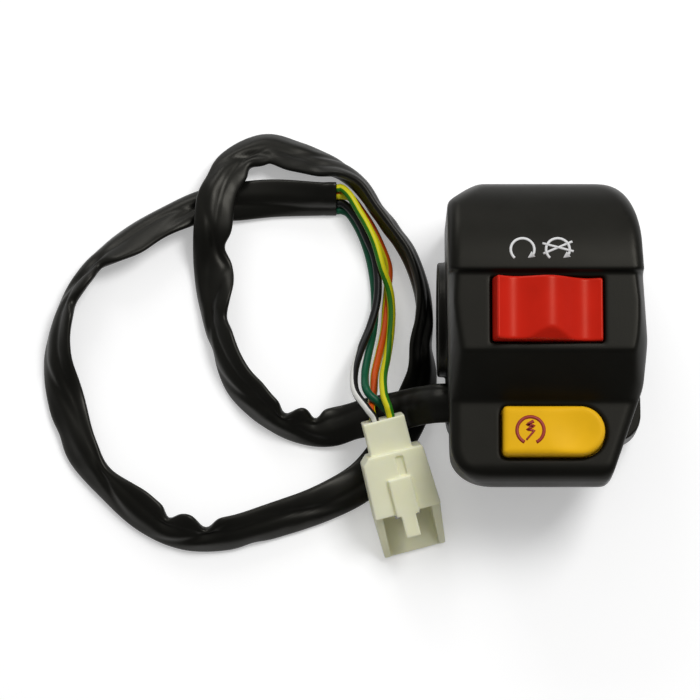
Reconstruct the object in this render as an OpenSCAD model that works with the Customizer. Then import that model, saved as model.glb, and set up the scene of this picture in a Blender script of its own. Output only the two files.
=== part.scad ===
// Right-hand handlebar switch cluster: engine stop rocker, start button, loom and plug
// Frame: origin on the bar axis, +X along the bar, +Y up the panel, +Z out of the front panel.

/* [Handlebar clamp] */
// Diameter of the handlebar that the housing clamps
bar_d = 22.2; // [21.5:0.1:23]
// Wall of the collar round the bar
collar_wall = 2.2; // [1.8:0.1:2.6]
// Length that the collar stands out of the left side
collar_len = 2; // [1:0.1:3]
// Width of the saddle rims inside each side wall
saddle_rim = 1.2; // [0.8:0.1:1.6]

/* [Housing] */
// Half of the housing's width along the bar
half_w = 22.5; // [22:0.1:24]
// Wall of both shells
wall = 2; // [1.6:0.1:2.4]
// Height of the housing above the bar axis
top_y = 30.5; // [29.5:0.1:31]
// Drop of the front shell's chin below the bar axis
chin_y = 40.5; // [40:0.1:42]
// Drop of the rear shell below the bar axis
rear_y = 28.5; // [28:0.1:30]
// Depth of the rear shell behind the bar axis
rear_depth = 15.5; // [15:0.1:18]
// Height of the shoulder where the crown starts
shoulder_z = 10; // [8:0.5:12]
// Height of the flat panel round the rocker
panel_z = 26; // [25.5:0.1:27]
// Step from that panel up to the crown's lip
lip_h = 1.2; // [0.6:0.1:2]
// Height of the lower panel round the start button
low_panel_z = 17; // [16.8:0.1:18]

/* [Stop rocker] */
// Width of the rocker across its ridge
rocker_y = 14.5; // [13:0.1:15]
// Radius of the rocker's end faces about its pivot
rocker_r = 12.5; // [12.2:0.1:13.1]
// Height of the rocker's top above its pivot, midway up the wave
rocker_top = 3.6; // [3.2:0.1:4.4]
// Height of the ridge above the middle of the wave
ridge_h = 1.4; // [0.8:0.1:1.8]
// Distance from the ridge to the bottom of each finger pad
pad_x = 8.2; // [7:0.1:9]
// Swing from the run position to the off position
rocker_swing = 18; // [10:1:18]
// Diameter of the pivot pins
pin_d = 2; // [1.6:0.1:2.2]
// Diameter of the spring plunger in the rocker's stem
plunger_d = 3.2; // [2.8:0.1:3.4]
// Wire of the plunger spring
plunger_wire = 0.4; // [0.3:0.05:0.4]

/* [Start button] */
// Length of the button along the bar
button_l = 23.2; // [20:0.1:24]
// Height of the button across the bar
button_h = 11.3; // [10:0.1:11.6]
// Height that the button stands out of its panel
button_proud = 3.3; // [3:0.1:4]
// Travel of the button
button_travel = 3; // [1.5:0.1:3]
// Wire of the return spring
return_wire = 0.6; // [0.4:0.05:0.7]
// Mean diameter of the return spring
return_d = 4.8; // [4.4:0.1:5]

/* [Fasteners] */
// Diameter of the two clamp screws
clamp_d = 5; // [4:0.1:5]
// Diameter of the clamp screws' heads
clamp_head_d = 8.8; // [8:0.1:9]
// Diameter of the small screws that hold the switch bases
base_screw_d = 2.2; // [1.8:0.1:2.4]

/* [Loom and plug] */
// Width of the flattened sleeve
sleeve_w = 9.2; // [8:0.1:9.4]
// Thickness of the flattened sleeve
sleeve_t = 3.8; // [3:0.1:4]
// Diameter of each wire
wire_d = 1.9; // [1.4:0.1:1.9]
// Width of the plug's shroud
plug_w = 14.6; // [13.6:0.1:15]
// Thickness of the plug's shroud
plug_t = 11.6; // [11:0.1:12]
// Length of the plug
plug_l = 32.3; // [30:0.1:33]

/* [Hidden] */

$fn = 48;
eps = 0.01;
// Clearance of a piece that drops into a hole, of a running fit, and between pieces that move past each other
drop_gap = 0.05;
run_gap = 0.05;
move_gap = 0.3;
seat_gap = 0.02;

bore_r = bar_d / 2;
collar_r = bore_r + collar_wall;
// Inner skins are set back more in height, because most of them slope
skin = wall * 1.15;

// Stations along Y of the front shell's outline
lip_y = 6.5;
recess_y = -11.6;
slope_y = -21.9;
chin_start_y = slope_y - 14.4;
chin_floor_y = -rear_y - 5;
chin_tip_z = 9;
chin_top_z = 12;
chamfer_y = top_y - 6.4;
corner_y = -chin_y + 8.8;
cut_y = -18.6;
belly_y = -8.5;
shoulder_y = 12;
lip_z = panel_z + lip_h;
crown_run = top_y - lip_y;

// Left and right edges of the front shell, and its top and its underside, along Y
left_top_x = -half_w + 7.3;
left_low_x = -half_w + 0.7;
left_corner_w = 9.2;
right_top_x = half_w - 10.5;
right_shoulder_x = half_w - 0.8;
right_belly = 0.4;
cut_top_x = half_w - 0.5;
cut_low_x = half_w - 7.5;
function ellipse_at(u) = sqrt(max(0, 1 - u * u));
function left_x(y) =
    y > chamfer_y ? -half_w + (left_top_x + half_w) * (y - chamfer_y) / (top_y - chamfer_y)
    : y > corner_y ? lookup(y, [[corner_y, left_low_x], [0, -half_w]])
    : left_low_x + left_corner_w * (1 - ellipse_at((corner_y - y) / (corner_y + chin_y)));
function right_x(y) =
    y > shoulder_y
        ? right_top_x + (right_shoulder_x - right_top_x) * ellipse_at((y - shoulder_y) / (top_y - shoulder_y))
    : lookup(y, [[-chin_y, cut_low_x - 1.7], [-chin_y + 2, cut_low_x], [cut_y, cut_top_x],
        [belly_y, half_w + right_belly], [shoulder_y, right_shoulder_x]]);
function top_z(y) =
    y >= lip_y ? shoulder_z + (lip_z - shoulder_z) * ellipse_at((y - lip_y) / crown_run)
    : y >= recess_y ? panel_z
    : y >= slope_y ? lookup(y, [[slope_y, low_panel_z], [recess_y, panel_z]])
    : y >= chin_start_y ? low_panel_z
    : chin_top_z + (low_panel_z - chin_top_z) * ellipse_at((chin_start_y - y) / (chin_start_y + chin_y));
function under_z(y) = y > chin_floor_y ? 0 : chin_tip_z * (chin_floor_y - y) / (chin_floor_y + chin_y);
// Rounding of the shell's left and right edges
function edge_r(y) = lookup(y, [[-chin_y, 1.2], [chin_start_y, 1.6], [slope_y, 1.6], [recess_y, 3.2],
    [lip_y, 2.4], [top_y, 3]]);

crown_steps = [8 : 8 : 88];
chin_steps = [15 : 15 : 90];
front_stations = concat(
    [top_y],
    [for (t = crown_steps) top_y - crown_run * (1 - cos(t))],
    [lip_y, lip_y - 0.05, 0, belly_y, recess_y, cut_y, slope_y, corner_y, (corner_y + chin_start_y) / 2],
    [for (t = [0, each chin_steps]) chin_start_y - (chin_start_y + chin_y) * sin(t)]);
// Stations of the hollow: open to the rear down to the rear shell, closed over the chin
mouth_y = -rear_y + wall;
cavity_stations = concat(
    [for (t = [18 : 12 : 90]) lip_y + (crown_run - wall) * cos(t)],
    [lip_y - wall / 2, recess_y, slope_y + wall / 2, mouth_y, mouth_y - 0.05, chin_floor_y, chin_start_y,
        -chin_y + 2 * wall]);

// One cross-section of the shell: underside, left wall, rounded shoulders and right wall
arc_n = 5;
function section(y, inset, top_inset, low) = let (
    xl = left_x(y) + inset,
    xr = right_x(y) - inset,
    zt = top_z(y) - top_inset,
    r = max(0.4, edge_r(y) - inset))
    concat([[xl, y, low]],
        [for (k = [0 : arc_n]) let (a = 90 * k / arc_n) [xl + r * (1 - cos(a)), y, zt - r * (1 - sin(a))]],
        [for (k = [0 : arc_n]) let (a = 90 * k / arc_n) [xr - r * (1 - sin(a)), y, zt - r * (1 - cos(a))]],
        [[xr, y, low]]);

// Closed skin over rings of equal length, which turn clockwise about the way they advance
module skin_over(rings) {
    n = len(rings[0]);
    last = len(rings) - 1;
    polyhedron(
        [for (ring = rings) each ring],
        concat(
            [[for (k = [n - 1 : -1 : 0]) k]],
            [for (i = [0 : last - 1], k = [0 : n - 1], half = [0, 1])
                half == 0 ? [i * n + k, i * n + (k + 1) % n, (i + 1) * n + (k + 1) % n]
                : [i * n + k, (i + 1) * n + (k + 1) % n, (i + 1) * n + k]],
            [[for (k = [0 : n - 1]) last * n + k]]));
}

module front_solid() {
    skin_over([for (y = front_stations) section(y, 0, 0, under_z(y))]);
}

module front_hollow() {
    skin_over([for (y = cavity_stations)
        section(y, wall, skin, y >= mouth_y ? -1 : under_z(y) + 1.4 * wall)]);
}

// Outline of the rear shell, set in by an inset: it follows the front's top corners
rear_low_r = 6;
rear_left_r = 6;
function rear_outline(inset) = let (
    rr = max(0.5, rear_low_r - inset),
    rl = max(0.5, rear_left_r - inset))
    concat(
        [for (t = [0 : 10 : 90])
            [right_top_x + (right_shoulder_x - right_top_x - inset) * cos(t),
                shoulder_y + (top_y - shoulder_y - inset) * sin(t)]],
        [[left_top_x + inset / 2, top_y - inset], [-half_w + inset, chamfer_y - inset / 2]],
        [for (t = [0 : 15 : 90])
            [-half_w + inset + rl * (1 - cos(t)), -rear_y + inset + rl * (1 - sin(t))]],
        [for (t = [0 : 15 : 90])
            [half_w - inset - rr * (1 - sin(t)), -rear_y + inset + rr * (1 - cos(t))]]);

// Cylinder along the bar axis
module along_x(r, x0, x1) {
    translate([x0, 0, 0]) rotate([0, 90, 0]) cylinder(r = r, h = x1 - x0);
}

// Half of a space on one side of the parting plane
module half_space(front) {
    size = 200;
    translate([-size / 2, -size / 2, front ? 0 : -size]) cube(size);
}

// Clamp screws, from behind, into inserts in the front shell's bosses
clamp_places = [[0, 18.5], [13, -18.2]];
clamp_seat_z = -rear_depth + 4;
clamp_head_h = 3;
insert_l = 8;
insert_start = 0.3;
insert_r = clamp_d / 2 + 0.6;
boss_r = insert_r + 1.5;
clamp_tip_z = insert_start + insert_l + 1;

module clamp_screws() {
    color("silver") for (p = clamp_places) translate([p[0], p[1], 0]) {
        difference() {
            translate([0, 0, clamp_seat_z - clamp_head_h]) cylinder(d = clamp_head_d, h = clamp_head_h);
            translate([0, 0, clamp_seat_z - clamp_head_h - eps]) cross_recess(4.6, 1.6);
        }
        translate([0, 0, clamp_seat_z - eps]) cylinder(d = clamp_d, h = clamp_tip_z - clamp_seat_z + eps);
    }
}

module cross_recess(span, depth) {
    blade = span / 4;
    for (a = [0, 90]) rotate(a) translate([-span / 2, -blade / 2, 0]) cube([span, blade, depth]);
}

module threaded_inserts() {
    color("goldenrod") for (p = clamp_places) translate([p[0], p[1], insert_start]) difference() {
        cylinder(r = insert_r, h = insert_l);
        translate([0, 0, -1]) cylinder(d = clamp_d + 2 * drop_gap, h = insert_l + 2);
    }
}

// Loom slot in the left side, split by the parting plane
saddle_half = collar_r + 0.7;
tie_w = 2.4;
tie_t = 0.7;
tie_fit = 0.15;
exit_y = -saddle_half - sleeve_w / 2 - tie_t - tie_fit - drop_gap;
function oval(w, t, n) = [for (k = [0 : n - 1]) [w / 2 * cos(360 * k / n), t / 2 * sin(360 * k / n)]];

module loom_slot() {
    translate([-half_w - 1, exit_y, 0]) rotate([90, 0, 90])
        linear_extrude(wall + 3) polygon(oval(sleeve_w + 0.4, sleeve_t + 0.4, 32));
}

// Collar and saddle rims of one half
module saddle() {
    difference() {
        union() {
            along_x(collar_r, -half_w - collar_len, -half_w + wall + saddle_rim);
            along_x(collar_r, half_w - wall - saddle_rim, half_w - eps);
        }
        along_x(bore_r, -half_w - collar_len - 1, half_w + 1);
    }
}

// Stop rocker: places and sizes about its pivot
rocker_c = -2.3;
pivot_z = panel_z - wall / 2;
rest_tilt = rocker_swing / 2;
rocker_low = -2.2;
rocker_wall = 1.4;
stem_r = plunger_d / 2 + 1.1;
stem_bore_top = 3;
function wave(x) = rocker_top + ridge_h * cos(180 * x / pad_x);
wave_end = wave(rocker_r - 0.5);
wave_x = sqrt(rocker_r * rocker_r - wave_end * wave_end);
wave_n = 36;
end_n = 5;
end_top_a = asin(wave_end / rocker_r);
end_low_a = asin(rocker_low / rocker_r);
rocker_profile = concat(
    [for (k = [0 : wave_n]) let (x = wave_x * (2 * k / wave_n - 1))
        [x, k == 0 || k == wave_n ? wave_end : wave(x)]],
    [for (k = [1 : end_n]) let (a = end_top_a + (end_low_a - end_top_a) * k / end_n)
        [rocker_r * cos(a), rocker_r * sin(a)]],
    [for (k = [end_n : -1 : 1]) let (a = end_top_a + (end_low_a - end_top_a) * k / end_n)
        [-rocker_r * cos(a), rocker_r * sin(a)]]);
ear_t = 1.6;
ear_r = pin_d / 2 + 0.8;
ear_y = rocker_y / 2 - rocker_wall - 0.35 - ear_t;
pin_l = rocker_y / 2 - ear_y - 0.15;
// The scoop that ends the ridge on its lower side
scoop_h = rocker_top + 0.2 * ridge_h;
scoop_a = 25;

// Places children about the rocker's pivot, at its rest tilt
module at_rocker() {
    translate([0, rocker_c, pivot_z]) rotate([0, rest_tilt, 0]) children();
}

// Extrudes a profile of X and height along Y, about the middle
module across(w) {
    rotate([90, 0, 0]) linear_extrude(w, center = true) children();
}

module stop_rocker() {
    hollow_x = 2 * (rocker_r - 1.7);
    hollow_y = rocker_y - 2 * rocker_wall;
    ceiling = 0.6;
    color("red") at_rocker() difference() {
        union() {
            difference() {
                across(rocker_y) polygon(rocker_profile);
                translate([-hollow_x / 2, -hollow_y / 2, rocker_low - 1])
                    cube([hollow_x, hollow_y, ceiling - rocker_low + 1]);
                for (s = [-1, 1])
                    translate([0, s * (ear_y + (hollow_y / 2 - ear_y) / 2 - 0.15), 0]) rotate([90, 0, 0])
                    cylinder(r = ear_r + move_gap, h = hollow_y / 2 - ear_y + 0.3, center = true);
                translate([0, -rocker_y / 2, scoop_h]) rotate([scoop_a, 0, 0])
                    translate([-pad_x, -pad_x / 2, 0]) cube([2 * pad_x, pad_x, pad_x]);
            }
            translate([0, 0, stem_low]) cylinder(r = stem_r, h = ceiling + 0.5 - stem_low);
        }
        translate([0, 0, stem_low - 1]) cylinder(d = plunger_d + 2 * run_gap, h = stem_bore_top - stem_low + 1);
        for (s = [-1, 1]) translate([0, s * rocker_y / 2, 0]) rotate([90, 0, 0])
            cylinder(d = pin_d + 2 * seat_gap, h = 2 * rocker_wall + eps, center = true);
    }
}

module rocker_pivot_pins() {
    color("silver") at_rocker() for (s = [-1, 1])
        translate([0, s * (ear_y - 0.1 + pin_l / 2), 0]) rotate([90, 0, 0])
            cylinder(d = pin_d, h = pin_l, center = true);
}

// Plunger and its spring, in the stem
tip_r = 1.3;
plunger_top = -0.8;
module rocker_plunger() {
    color("white") at_rocker() {
        translate([0, 0, tip_low + tip_r]) sphere(r = tip_r);
        translate([0, 0, tip_low + tip_r]) cylinder(r = tip_r, h = stem_low - tip_low - tip_r + 0.3);
        translate([0, 0, stem_low + 0.2]) cylinder(d = plunger_d, h = plunger_top - stem_low - 0.2);
    }
}

// Helical spring as one tube: 8 rings a turn, 6 sides
function coil_ring(r, wire, z, a) = [for (k = [0 : 5]) let (b = 60 * k)
    [(r + wire / 2 * cos(b)) * cos(a), (r + wire / 2 * cos(b)) * sin(a), z + wire / 2 * sin(b)]];
coil_rings = 8;
module coil(r, wire, length, turns) {
    n = turns * coil_rings;
    skin_over([for (i = [0 : n]) coil_ring(r, wire, wire / 2 + (length - wire) * i / n, 360 * i / coil_rings)]);
}
// Least gap of a spring to itself: neighbouring turns, measured on the tube's middle line
function coil_gap(r, wire, length, turns) = let (n = turns * coil_rings, rise = (length - wire) / n)
    min([for (i = [0 : n - coil_rings], j = [coil_rings - 1 : coil_rings + 1])
        let (a = 360 * j / coil_rings) norm([r * (1 - cos(a)), r * sin(a), rise * j])]) - wire;

plunger_spring_r = plunger_d / 2 - plunger_wire / 2 - 0.2;
plunger_spring_l = stem_bore_top - plunger_top - 2 * drop_gap;
plunger_turns = 4;
module plunger_spring() {
    color("silver") at_rocker() translate([0, 0, plunger_top + drop_gap])
        coil(plunger_spring_r, plunger_wire, plunger_spring_l, plunger_turns);
}

// Stop base: a tray under the rocker with two ears for the pivot pins
base_t = 1.8;
base_z = bore_r + 2.2;
base_top = base_z + base_t;
base_half_y = 5.6;
stop_screw_x = rocker_r + 3.5;
stop_boss_r = base_screw_d / 2 + 1.1;
strip_t = 0.8;
fulcrum_z = base_top + 1.8;
fulcrum_r = 0.8;
common_w = 2.8;
rest_post_x = 5;
module stop_base() {
    flange = stop_screw_x + stop_boss_r;
    color("dimgray") translate([0, rocker_c, 0]) {
        difference() {
            translate([-flange, -base_half_y, base_z]) cube([2 * flange, 2 * base_half_y, base_t]);
            for (s = [-1, 1]) translate([s * stop_screw_x, 0, base_z - 1])
                cylinder(d = base_screw_d + 2 * drop_gap, h = base_t + 2);
        }
        for (s = [-1, 1]) translate([0, s * (ear_y + ear_t / 2), 0]) stop_ear();
        translate([rest_post_x - 0.8, -1.5, base_top - eps]) cube([1.6, 3, strip_t]);
    }
}

module stop_ear() {
    foot = 5;
    difference() {
        across(ear_t) {
            translate([0, pivot_z]) circle(r = ear_r);
            polygon([[-foot, base_top - eps], [foot, base_top - eps], [ear_r, pivot_z], [-ear_r, pivot_z]]);
        }
        translate([0, 0, pivot_z]) rotate([90, 0, 0])
            cylinder(d = pin_d + 2 * run_gap, h = ear_t + 1, center = true);
        translate([-common_w / 2 - move_gap, -ear_t, base_top - 1])
            cube([common_w + 2 * move_gap, 2 * ear_t, 1 + strip_t + move_gap]);
    }
}

screw_head_h = 1.3;
screw_head_d = 1.75 * base_screw_d;
module small_screw(tip) {
    translate([0, 0, -screw_head_h]) difference() {
        cylinder(d = screw_head_d, h = screw_head_h);
        translate([0, 0, -eps]) cross_recess(1.1 * base_screw_d, 0.7);
    }
    translate([0, 0, -eps]) cylinder(d = base_screw_d, h = tip);
}

screw_grip = 6;
module stop_base_screws() {
    color("silver") for (s = [-1, 1]) translate([s * stop_screw_x, rocker_c, base_z])
        small_screw(base_t + screw_grip);
}

// Tumbler: a see-saw contact on the common terminal's ridge
tumbler_tilt = -7;
tumbler_l = 5.5;
tumbler_w = 4.4;
tumbler_t = 0.7;
// The plunger's tip stays just clear of the tumbler's hub, and the stem ends above it
tip_out = 1.8;
tip_low = fulcrum_z - pivot_z + fulcrum_r + 2 * run_gap + tumbler_t + move_gap;
stem_low = tip_low + tip_out;
module tumbler_contact() {
    hub = fulcrum_r + 2 * run_gap;
    color("gold") translate([0, rocker_c, fulcrum_z]) rotate([0, tumbler_tilt, 0]) across(tumbler_w)
    difference() {
        union() {
            circle(r = hub + tumbler_t);
            translate([-tumbler_l, 0]) square([2 * tumbler_l, tumbler_t]);
        }
        circle(r = hub);
        translate([-2 * hub, -2 * hub]) square([4 * hub, 2 * hub]);
    }
}

tab_reach = 4.9;
tab_y = rocker_c - base_half_y - tab_reach;
common_past = 3.4;
module stop_common_terminal() {
    ridge_w = 3.8;
    color("gold") {
        translate([-common_w / 2, tab_y, base_top]) cube([common_w, rocker_c + common_past - tab_y, strip_t]);
        translate([-fulcrum_r, rocker_c - ridge_w / 2, base_top + strip_t - eps])
            cube([2 * fulcrum_r, ridge_w, fulcrum_z - base_top - strip_t + eps]);
        translate([0, rocker_c, fulcrum_z]) across(ridge_w) circle(r = fulcrum_r);
    }
}

live_tab_x = -7.2;
live_tab_w = 2.6;
module stop_live_terminal() {
    pad_end = -rest_post_x + 1;
    edge = live_tab_x - live_tab_w / 2;
    color("gold") {
        translate([edge, rocker_c - 2, base_top]) cube([pad_end - edge, 4, strip_t]);
        translate([edge, tab_y, base_top]) cube([live_tab_w, rocker_c - tab_y, strip_t]);
    }
}

// Start button: a D-shaped cap with a retaining flange and a tube that guides its spring
button_x0 = -10.1;
button_c = -28.95;
button_round = button_h / 2;
button_end_x = button_x0 + button_l - button_round;
button_top = low_panel_z + button_proud;
spring_x = 1.8;
panel_under = low_panel_z - skin;
flange_t = 1.5;
flange_grow = 0.9;
flange_z = panel_under - move_gap - flange_t;
button_low = flange_z - 0.5;
button_wall = 1.6;
button_corner = 1;
dish_r = 26;
dish_depth = 0.6;
dish_x = 7;
function button_outline(grow) = let (
    r = button_corner + max(grow, -0.8),
    x0 = button_x0 - grow + r,
    half_h = button_round + grow)
    concat(
        [for (t = [-90 : 10 : 90]) [button_end_x + half_h * cos(t), button_c + half_h * sin(t)]],
        [for (t = [0 : 30 : 90]) [x0 - r * sin(t), button_c + half_h - r * (1 - cos(t))]],
        [for (t = [0 : 30 : 90]) [x0 - r * cos(t), button_c - half_h + r * (1 - sin(t))]]);

module button_layer(z, grow, t) {
    translate([0, 0, z]) linear_extrude(t) polygon(button_outline(grow));
}

// Cap of the button: rounded edge as rows of [height below the top, inset]
cap_soft = 1;
cap_n = 4;
cap_rows = [for (k = [cap_n : -1 : 0]) let (t = 90 * k / cap_n)
    [cap_soft * (1 - sin(t)), -cap_soft * (1 - cos(t))]];
module button_cap() {
    rows = concat(cap_rows, [[button_top - button_low, 0]]);
    skin_over([for (row = rows) [for (q = button_outline(row[1])) [q[0], q[1], button_top - row[0]]]]);
}

guide_r = return_d / 2 + return_wire / 2 + 0.5;
guide_wall = 1;
bridge_t = 0.6;
start_base_rise = 3;
start_base_z = under_z(button_c) + start_base_rise;
cap_roof = 2;
start_base_t = 2;
start_base_top = start_base_z + start_base_t;
start_strip_t = 0.6;
bridge_z = start_base_top + start_strip_t + button_travel + 0.4;
module start_button() {
    color("gold") difference() {
        union() {
            difference() {
                union() {
                    button_cap();
                    button_layer(flange_z, flange_grow, flange_t);
                }
                button_layer(button_low - 1, -button_wall, button_top - cap_roof - button_low + 1);
            }
            translate([spring_x, button_c, bridge_z + bridge_t])
                cylinder(r = guide_r + guide_wall, h = button_top - 1.5 - bridge_z - bridge_t);
        }
        translate([spring_x, button_c, bridge_z]) cylinder(r = guide_r, h = button_top - cap_roof - bridge_z);
        translate([dish_x, button_c, button_top + dish_r - dish_depth]) sphere(r = dish_r, $fn = 96);
    }
}

// Bridge contact on the guide tube's end, over the two fixed contacts
contact_x = 5;
bridge_half = contact_x + 1.4;
module start_bridge() {
    w = 2 * (guide_r + guide_wall);
    color("gold") translate([spring_x, button_c, bridge_z]) difference() {
        translate([-bridge_half, -w / 2, 0]) cube([2 * bridge_half, w, bridge_t]);
        translate([0, 0, -1]) cylinder(r = guide_r, h = bridge_t + 2);
    }
}

return_turns = 7;
return_l = button_top - cap_roof - start_base_top - 2 * drop_gap;
module start_return_spring() {
    color("silver") translate([spring_x, button_c, start_base_top + drop_gap])
        coil(return_d / 2, return_wire, return_l, return_turns);
}

// Start base: a plate under the button, screwed to two bosses beside the clamp screw
start_base_x0 = -11.6;
base_past = 2.8;
start_base_x1 = spring_x + contact_x + base_past;
start_base_half = 3.9;
start_screw_y = -20.2;
start_screw_x = [-9, 4];
start_ear_r = 2.4;
post_r = return_d / 2 - return_wire / 2 - 0.3;
post_h = 3;
module start_base() {
    color("dimgray") {
        difference() {
            union() {
                translate([start_base_x0, button_c - start_base_half, start_base_z])
                    cube([start_base_x1 - start_base_x0, 2 * start_base_half, start_base_t]);
                for (x = start_screw_x) {
                    translate([x - start_ear_r, button_c, start_base_z])
                        cube([2 * start_ear_r, start_screw_y - button_c, start_base_t]);
                    translate([x, start_screw_y, start_base_z]) cylinder(r = start_ear_r, h = start_base_t);
                }
            }
            for (x = start_screw_x) translate([x, start_screw_y, start_base_z - 1])
                cylinder(d = base_screw_d + 2 * drop_gap, h = start_base_t + 2);
        }
        translate([spring_x, button_c, start_base_top - eps]) cylinder(r = post_r, h = post_h);
    }
}

module start_base_screws() {
    color("silver") for (x = start_screw_x) translate([x, start_screw_y, start_base_z])
        small_screw(start_base_t + screw_grip);
}

// Fixed contacts: two strips that end in solder tabs past the base's left end
strip_half = 1.8;
tab_x = start_base_x0 - 0.6;
near_tab_x = start_base_x0 - 1;
near_tab_y = button_c + start_base_half - 0.4;
low_strip_w = 1.2;
low_strip_y = button_c - start_base_half + low_strip_w / 2 + 0.1;
module start_terminals() {
    x1 = spring_x - contact_x + strip_half;
    x2 = spring_x + contact_x;
    color("gold") translate([0, 0, start_base_top]) {
        translate([near_tab_x - strip_half / 2, button_c - strip_half / 2, 0])
            cube([x1 - near_tab_x + strip_half / 2, strip_half, start_strip_t]);
        translate([near_tab_x - strip_half / 2, button_c, 0])
            cube([strip_half, near_tab_y - button_c, start_strip_t]);
        translate([x1 - 2 * strip_half, button_c - strip_half, 0])
            cube([2 * strip_half, 2 * strip_half, start_strip_t]);
        translate([tab_x, low_strip_y - low_strip_w / 2, 0])
            cube([x2 + strip_half - tab_x, low_strip_w, start_strip_t]);
        translate([x2 - strip_half, low_strip_y, 0])
            cube([2 * strip_half, button_c + strip_half - low_strip_y, start_strip_t]);
    }
}

// Front shell
module front_boss(p, r, z0, z1) {
    translate([p[0], p[1], z0]) cylinder(r = r, h = z1 - z0);
}

module front_housing() {
    ap_x = rocker_r + move_gap;
    ap_y = rocker_y / 2 + move_gap;
    pilot = base_screw_d / 2 + seat_gap;
    pilot_l = screw_grip + 1.3;
    color([0.13, 0.13, 0.14]) difference() {
        union() {
            difference() {
                front_solid();
                front_hollow();
            }
            intersection() {
                saddle();
                half_space(true);
            }
            for (p = clamp_places) front_boss(p, boss_r, 0, top_z(p[1] + sign(p[1]) * boss_r) - wall / 2);
            for (s = [-1, 1])
                front_boss([s * stop_screw_x, rocker_c], stop_boss_r, base_top, panel_z - wall / 2);
            for (x = start_screw_x)
                front_boss([x, start_screw_y], stop_boss_r, start_base_top,
                    top_z(start_screw_y - stop_boss_r) - wall / 2);
        }
        along_x(bore_r, -half_w - collar_len - 1, half_w + 2);
        loom_slot();
        translate([-ap_x, rocker_c - ap_y, pivot_z - 4]) cube([2 * ap_x, 2 * ap_y, 10]);
        button_layer(flange_z, move_gap, button_top - flange_z);
        for (p = clamp_places) translate([p[0], p[1], -1]) {
            cylinder(r = insert_r + seat_gap, h = insert_start + insert_l + 1 + seat_gap);
            cylinder(d = clamp_d + 4 * drop_gap, h = clamp_tip_z + 2);
        }
        for (s = [-1, 1]) translate([s * stop_screw_x, rocker_c, 0]) {
            translate([0, 0, base_top - 1]) cylinder(r = pilot, h = pilot_l);
            translate([0, 0, base_z - screw_head_h - move_gap])
                cylinder(d = screw_head_d + 2 * move_gap, h = screw_head_h + move_gap);
        }
        for (x = start_screw_x) translate([x, start_screw_y, start_base_top - 1])
            cylinder(r = pilot, h = pilot_l);
    }
}

// Rear shell
rear_floor_z = -rear_depth + wall + 0.6;
column_r = clamp_head_d / 2 + 2;
module rear_slab(z, inset) {
    translate([0, 0, z]) linear_extrude(eps) polygon(rear_outline(inset));
}

module rear_pocket(upper) {
    size = 2 * half_w;
    intersection() {
        translate([0, 0, rear_floor_z]) linear_extrude(rear_depth) polygon(rear_outline(wall));
        translate([-half_w, upper ? saddle_half : -saddle_half - size, rear_floor_z - 1]) cube(size);
        if (!upper) translate([0, 0, rear_floor_z]) linear_extrude(rear_depth) polygon(concat(
            [for (y = [0, cut_y, -chin_y + 2]) [right_x(y) - wall - 0.3, y]],
            [[-half_w, -chin_y + 2], [-half_w, 0]]));
    }
}

module rear_housing() {
    color([0.13, 0.13, 0.14]) difference() {
        union() {
            difference() {
                hull() {
                    rear_slab(-eps, 0);
                    rear_slab(-rear_depth + 7, 0);
                    rear_slab(-rear_depth + 3.6, 0.9);
                    rear_slab(-rear_depth + 1.3, 2.7);
                    rear_slab(-rear_depth, 5.4);
                }
                for (upper = [true, false]) rear_pocket(upper);
            }
            intersection() {
                saddle();
                half_space(false);
            }
            for (p = clamp_places) translate([p[0], p[1], rear_floor_z - eps])
                cylinder(r = column_r, h = -rear_floor_z);
        }
        along_x(bore_r, -half_w - collar_len - 1, half_w + 2);
        loom_slot();
        for (p = clamp_places) translate([p[0], p[1], -rear_depth - 1]) {
            cylinder(d = clamp_d + 8 * drop_gap, h = rear_depth + 2);
            cylinder(d = clamp_head_d + 0.8, h = clamp_seat_z + rear_depth + 1);
        }
    }
}

// Loom: a flattened sleeve lying in two loops, [x, y, lift off the ground, roll in degrees]
lying_gap = 0.15;
exit_lift = rear_depth - sleeve_t / 2 - lying_gap;
over_exit = exit_lift - 8.4;
over_end = 4.6;
mouth_x = -48;
sleeve_in = -half_w + 6;
sleeve_route = [
    [sleeve_in, exit_y, exit_lift, 0], [-23.5, exit_y, exit_lift, 0], [-26.5, exit_y, exit_lift - 1.8, 0],
    [-29.5, exit_y, exit_lift - 5.4, 0], [-33, -19.9, over_exit, 0], [-39.5, -21.2, over_exit - 0.5, 0],
    [-46, -22.7, 1.4, 10], [-53, -23.4, 0, 32], [-61, -21.4, 0, 50], [-68.4, -15.3, 0, 46],
    [-73.6, -6.3, 0, 52], [-76.2, 4, 0, 48], [-77, 15, 0.8, 15], [-76.8, 24, over_end, 0],
    [-75.6, 32.7, over_end, 0], [-71.6, 39.3, 2, 15], [-64.6, 43.4, 0, 35], [-57.5, 41.7, 0, 50],
    [-51.6, 39.5, 0, 66], [-46.4, 37.5, 0, 80], [-42.4, 34.1, 0, 90], [-38.8, 28.9, 0, 90],
    [-34.9, 23.5, 0, 90], [-30.8, 17.4, 0, 90], [-28, 9.5, 0, 84], [-27.3, 2.5, 0, 70], [-28.1, -4, 0, 60],
    [-27.9, -11, 0, 42], [-30.4, -19, 0, 12], [-35, -27.5, 0, 0], [-41.5, -35.5, 0, 10], [-51, -41, 0, 28],
    [-62, -45, 0, 35], [-73, -48.2, 0, 42], [-83, -48.2, 0, 42], [-92, -44, 0, 36], [-100.3, -36.8, 0, 40],
    [-107.3, -28.2, 0, 32], [-111, -17, 0, 20], [-113, -6, 0, 50], [-111, 5, 0, 66], [-105.5, 14, 0, 62],
    [-96.2, 21.2, 0, 40], [-86, 26.8, 0, 34], [-76, 30, 0, 0], [-64, 31.5, 0, -25],
    each [for (x = [-4, -2, 0]) [mouth_x + x, 31.2, 0, -45]]];

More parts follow.
